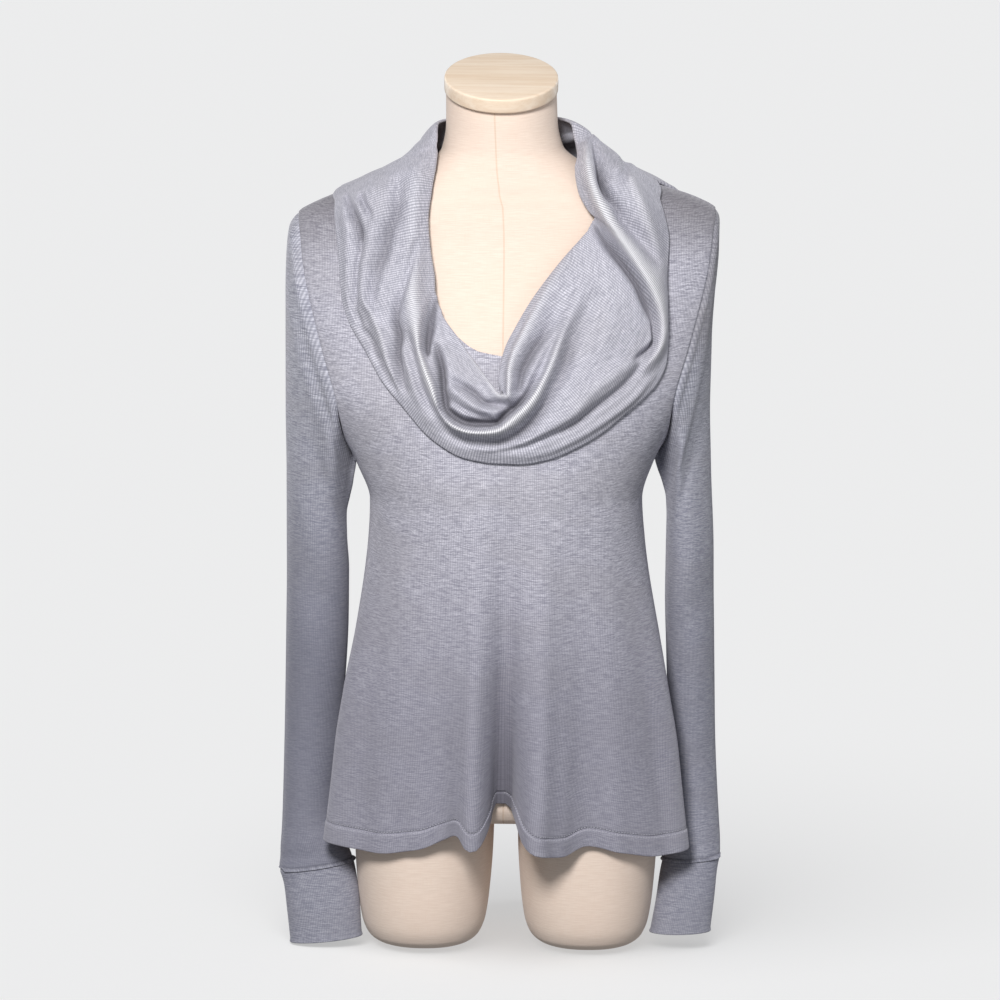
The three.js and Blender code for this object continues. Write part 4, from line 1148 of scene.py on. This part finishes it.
def knit(name, wale, course, tones, ribbed, rowed, shade_below=None, top=0.0, trough_shade=None, ridge_highlight=None):
    """Heathered fine knit: wales along v and courses along u, in millimetres of cloth. tones
    are its low and high streaks and its dark tone. Shade and light are painted into its colour:
    painted shade lower down, by v (shade_below), on the tops of the shoulders (top) and in deep
    folds (trough_shade), and a painted highlight on high folds (ridge_highlight). Each of these three is
    given as two places and its shares there, and top as a share."""
    n = Nodes(name)
    low, high, dark = tones
    u, v = n.cloth()
    # fold depth of the cloth, which drives its painted shade and painted highlight
    depth = n.add("ShaderNodeAttribute", attribute_name="fold").outputs["Fac"]
    v_bent = n.total((v, 1.0), (n.noise((u, v), (0.022, 0.05)), 9.0))
    wales = n.wave(u, wale)
    courses = n.wave(v_bent, course, n.math("MULTIPLY", n.math("ABSOLUTE", wales), 0.7))
    streak = n.noise((u, v_bent), (0.07, 0.85), 3.0, 3.0, 0.66)
    fleck = n.noise((u, v_bent), (0.26, 1.2), 7.0, 2.0, 0.6)
    broad = n.noise((u, v), (0.012, 0.02), 11.0)
    color = n.blend(n.ramp(streak, 0.38, 0.62), low, high)
    color = n.blend(n.ramp(fleck, 0.5, 0.36, 0.0, 0.5), color, dark)
    color = n.blend(n.ramp(fleck, 0.56, 0.68, 0.0, 0.45), color, "#e4e3e8")
    color = n.blend(n.ramp(broad, 0.42, 0.62, 0.0, 0.22), color, "#aaa7a8")
    # painted highlight on high folds, by their fold depth
    if ridge_highlight:
        color = n.blend(n.ramp(depth, *ridge_highlight), color, "#ffffff")
    ribs = n.math("MULTIPLY_ADD", wales, 0.5, 0.5)
    color = n.blend(n.math("MULTIPLY_ADD", ribs, -ribbed, ribbed), color, dark)
    rows = n.math("MULTIPLY_ADD", courses, 0.5, 0.5)
    color = n.blend(n.math("MULTIPLY_ADD", rows, -rowed, rowed), color, dark)
    # painted shade: the knit is darker lower down, by v
    if shade_below:
        color = n.blend(n.ramp(v, *shade_below), color, dark)
    # painted shade on the tops of the shoulders
    if top:
        color = n.blend(n.ramp(v, 570.0, 650.0, 0.0, top), color, "#5c5758")
    # painted shade in deep folds, by their fold depth
    if trough_shade:
        color = n.blend(n.ramp(depth, *trough_shade), color, "#45434b")
    n.bump(n.total((ribs, 0.8), (rows, 0.25), (streak, 0.6)), 0.5, 0.0005)
    n.set(Base_Color=color, Roughness=n.ramp(streak, 0.3, 0.7, 0.78, 0.62), Specular_IOR_Level=0.3)
    n.set(Sheen_Weight=0.25, Sheen_Roughness=0.45, Sheen_Tint="#e9e8f0")
    return n.material


def linen(name):
    """The form's plain-weave cover, with its seam down the middle of the front."""
    n = Nodes(name)
    u, v = n.cloth()
    weave = n.math("MULTIPLY", n.wave(u, LINEN_PITCH), n.wave(v, LINEN_PITCH))
    weave = n.math("MULTIPLY_ADD", weave, 0.5, 0.5)
    slub = n.noise((u, v), (0.06, 1.1), 2.0, 3.0, 0.6)
    slub_up = n.noise((u, v), (1.1, 0.06), 5.0, 3.0, 0.6)
    broad = n.noise((u, v), (0.01, 0.01), 8.0, 3.0)
    seam_at = n.ramp(v, 600.0, 720.0, -2.5, -6.5)
    seam = n.ramp(n.math("ABSOLUTE", n.math("SUBTRACT", u, seam_at)), 0.3, 1.1, 1.0, 0.0)
    color = n.blend(n.ramp(slub, 0.35, 0.65), "#e3d0c1", "#ecdbcd")
    color = n.blend(n.ramp(slub_up, 0.5, 0.7, 0.0, 0.3), color, "#e2cbb9")
    color = n.blend(n.ramp(broad, 0.4, 0.65, 0.0, 0.2), color, "#e9d0bf")
    color = n.blend(n.math("MULTIPLY", weave, 0.12), color, "#dcc5ac")
    color = n.blend(n.math("MULTIPLY", seam, 0.4), color, "#c7aa8c")
    n.bump(n.total((weave, 0.5), (slub, 0.5), (seam, -2.0)), 0.35, 0.0004)
    n.set(Base_Color=color, Roughness=0.88, Specular_IOR_Level=0.25, Sheen_Weight=0.12)
    return n.material


def wood(name):
    """Light close-grained wood with a satin finish."""
    n = Nodes(name)
    place = n.add("ShaderNodeNewGeometry").outputs["Position"]
    place = n.add("ShaderNodeSeparateXYZ", (place,)).outputs
    grain = n.noise(place, (9.0, 160.0, 160.0), detail=4.0, rough=0.6)
    rings = n.noise(place, (3.0, 34.0, 30.0))
    pores = n.noise(place, (60.0, 900.0, 900.0), detail=1.0)
    color = n.blend(n.ramp(grain, 0.35, 0.65), "#ecd6bd", "#f6e5d0")
    color = n.blend(n.ramp(rings, 0.45, 0.6, 0.0, 0.25), color, "#e6cdb0")
    color = n.blend(n.ramp(pores, 0.62, 0.72, 0.0, 0.2), color, "#d2b390")
    n.bump(n.total((grain, 1.0), (pores, 1.0)), 0.12, 0.0003)
    n.set(Base_Color=color, Roughness=n.ramp(grain, 0.3, 0.7, 0.5, 0.4))
    n.set(Specular_IOR_Level=0.45, Coat_Weight=0.12)
    return n.material


def plain(name, code, rough, glow=0.0):
    n = Nodes(name)
    n.set(Base_Color=code, Roughness=rough, Emission_Color="#ffffff", Emission_Strength=glow)
    return n.material


# Building

# One yarn throughout: the sleeves' darker tones are painted shade, and the cowl's paler low and dark tones
# are painted light.
BODY_TONES = ("#a3a2ae", "#e0dfe9", "#7a7987")
SLEEVE_TONES = ("#9899a6", "#d2d3dd", "#6e6f7d")
COWL_TONES = ("#b2b2bc", "#d8d7e1", "#83838f")
# The body knit is painted darker lower down (painted shade).
BODY_KNIT = {
    "wale": BODY_WALE, "course": 1.5, "tones": BODY_TONES, "ribbed": 0.5, "rowed": 0.1,
    "shade_below": (110.0, 400.0, 0.62, 0.0),
}
# The front and the back are one knit with different painted shade at the shoulders and in folds, and a
# painted highlight on high folds; the front's darkest painted shade fills its deep middle fold.
front_knit = knit("front_knit", **BODY_KNIT, top=0.6, trough_shade=(-40, -7, 0.62, 0), ridge_highlight=(6, 30, 0, 0.12))
back_knit = knit("back_knit", **BODY_KNIT, top=0.4, trough_shade=(-16, -5, 0.2, 0), ridge_highlight=(4, 15, 0, 0.1))
# Lit and shaded copies of one knit: each sleeve and the cuffs get their own share of painted shade lower
# down, and the right sleeve gets painted shade on its top.
sleeve_left, sleeve_right, cuff_knit = (
    knit(name, SLEEVE_WALE, 1.5, SLEEVE_TONES, 0.5, 0.1, (250.0, 620.0, share, 0.0), top)
    for name, share, top in (
        ("sleeve_knit_left", 0.78, 0.0),
        ("sleeve_knit_right", 0.55, 0.45),
        ("cuff_knit", 0.55, 0.0),
    )
)
sleeve_knits = {"left": sleeve_left, "right": sleeve_right}
# Painted shade in the cowl's creases and a strong painted highlight on its crests.
cowl_knit = knit(
    "cowl_knit", COWL_WALE, 1.7, COWL_TONES, 0.75, 0.04, trough_shade=(-15, -2, 0.72, 0), ridge_highlight=(3, 15, 0, 0.75)
)
thread = plain("thread", "#b2b2bb", 0.7)

made = {
    "sweater_front": (panel("sweater_front", False), "front", front_knit),
    "sweater_back": (panel("sweater_back", True), "back", back_knit),
    "sweater_cowl": (cowl("sweater_cowl"), "cowl", cowl_knit),
}
for label, side in (("left", -1), ("right", 1)):
    name = f"sweater_sleeve_{label}"
    obj = tube(name, side, SLEEVES[label], True, 170, SLEEVE_HALVES, SLEEVE_CREASES[label])
    made[name] = (obj, f"sleeve_{label}", sleeve_knits[label])
    name = f"sweater_cuff_{label}"
    obj = tube(name, side, CUFFS[label], False, 48, CUFF_HALVES[label], lip=0.8)
    made[name] = (obj, f"cuff_{label}", cuff_knit)
made["form_cover"] = (dress_form("form_cover"), "dress_form", linen("linen"))
made["form_neck_cap"] = (neck_cap("form_neck_cap"), "neck_cap", wood("wood"))
for obj, node, material in made.values():
    obj.data.materials.append(material)
    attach(obj, "root")
    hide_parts(node)

# The hem's two stitch lines
LINES_APART = 3.2
for label, low, high in (("front", -89.5, 89.5), ("back", 90.5, 269.5)):
    for line, over in (("low", HEM_BAND - LINES_APART / 2), ("high", HEM_BAND + LINES_APART / 2)):
        angle = np.linspace(low, high, 1400)
        row = HEM_HEIGHT + over
        height = row + hem_rise(angle, row)
        normal = body_normal(angle, height)
        push = fold_push(angle, height, SOFT_FOLDS) + hem_push(row) + 0.1
        path = body_point(angle, height) + normal * push[:, None]
        obj = stitches(f"hem_thread_{label}_{line}", path, normal)
        obj.data.materials.append(thread)
        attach(obj, "root")

FLATS = {
    "sweater_front": (0.46, 0.67),
    "sweater_back": (0.46, 0.68),
    "sweater_sleeve_left": (0.36, 0.66),
    "sweater_sleeve_right": (0.36, 0.66),
    "sweater_cuff_left": (0.17, 0.09),
    "sweater_cuff_right": (0.17, 0.09),
    "sweater_cowl": (1.0, 0.2),
}
for name, (width, length) in FLATS.items():
    obj = made[name][0]
    area = min(flat_area(obj), width * length)

# Floor, light and camera
FLOOR_RADIUS = 40.0  # metres; it lies just under the part
FLOOR_LEVEL = -0.0005
floor_mesh = bpy.data.meshes.new("floor")
turns = [math.radians(degrees) for degrees in range(0, 360, 5)]
ring = [(FLOOR_RADIUS * math.cos(t), FLOOR_RADIUS * math.sin(t), FLOOR_LEVEL) for t in turns]
floor_mesh.from_pydata(ring, [], [list(range(len(ring)))])
floor = bpy.data.objects.new("floor", floor_mesh)
bpy.context.scene.collection.objects.link(floor)
floor.data.materials.append(plain("floor_paper", "#b3b3b3", 0.95, 0.465))
floor.visible_diffuse = False
floor.visible_glossy = False

world = bpy.data.worlds.new("studio")
world.use_nodes = True
background = world.node_tree.nodes["Background"]
background.inputs["Color"].default_value = (0.95, 0.97, 1, 1)
background.inputs["Strength"].default_value = 0.26
bpy.context.scene.world = world

on_floor = bpy.data.collections.new("on_floor")
on_floor.objects.link(floor)
on_part = bpy.data.collections.new("on_part")
for obj in bpy.context.scene.objects:
    if obj.type == "MESH" and obj is not floor:
        on_part.objects.link(obj)


def lamp(name, kind, place, toward, energy, color, receivers):
    """A lamp at a place in the drawing, turned to another."""
    light = bpy.data.lights.new(name, kind)
    light.energy = energy
    light.color = color
    obj = bpy.data.objects.new(name, light)
    place, toward = ((np.array(p, float) - ORIGIN) / 1000 for p in (place, toward))
    obj.location = place.tolist()
    obj.rotation_mode = "QUATERNION"
    obj.rotation_quaternion = Vector((toward - place).tolist()).to_track_quat("-Z", "Y")
    bpy.context.scene.collection.objects.link(obj)
    obj.light_linking.receiver_collection = receivers
    return light


key = lamp("key", "SPOT", (-420, -2480, 2000), (10, -80, 400), 375, (1, 0.985, 0.98), on_part)
key.spot_size = math.radians(46)
key.spot_blend = 1
key.shadow_soft_size = 0.36
fill = lamp("fill", "SUN", (1500, -1600, 300), (0, 0, 500), 0.4, (0.94, 0.96, 1), on_part)
fill.angle = math.radians(60)
for label, x in (("left", -1300), ("right", 1300)):
    behind = lamp(f"behind_{label}", "SUN", (x, 1500, 700), (0, 0, 500), 0.9, (1, 1, 1), on_part)
    behind.angle = math.radians(40)
paper = lamp("paper_light", "SUN", (-800, -1500, 3500), (0, 0, 0), 2.0, (1, 1, 1), on_floor)
paper.angle = math.radians(50)

DISTANCE = 4.6
SENSOR = 36
ELEVATION = math.radians(10)
ROLL = math.radians(0.6)
target = (np.array([4.0, 0.0, 446.0]) - ORIGIN) / 1000
forward = np.array([0, math.cos(ELEVATION), -math.sin(ELEVATION)])
camera_data = bpy.data.cameras.new("camera")
camera_data.sensor_width = SENSOR
camera_data.lens = SENSOR * DISTANCE
camera_data.clip_end = 200
camera = bpy.data.objects.new("camera", camera_data)
right = np.array([1.0, 0, 0])
up = np.cross(right, forward)
right_rolled = right * math.cos(ROLL) + up * math.sin(ROLL)
up_rolled = up * math.cos(ROLL) - right * math.sin(ROLL)
place = target - forward * DISTANCE
camera.matrix_world = Matrix(
    [*([right_rolled[k], up_rolled[k], -forward[k], place[k]] for k in range(3)), [0, 0, 0, 1]]
)
bpy.context.scene.collection.objects.link(camera)
bpy.context.scene.camera = camera
bpy.context.scene.view_settings.view_transform = "Standard"
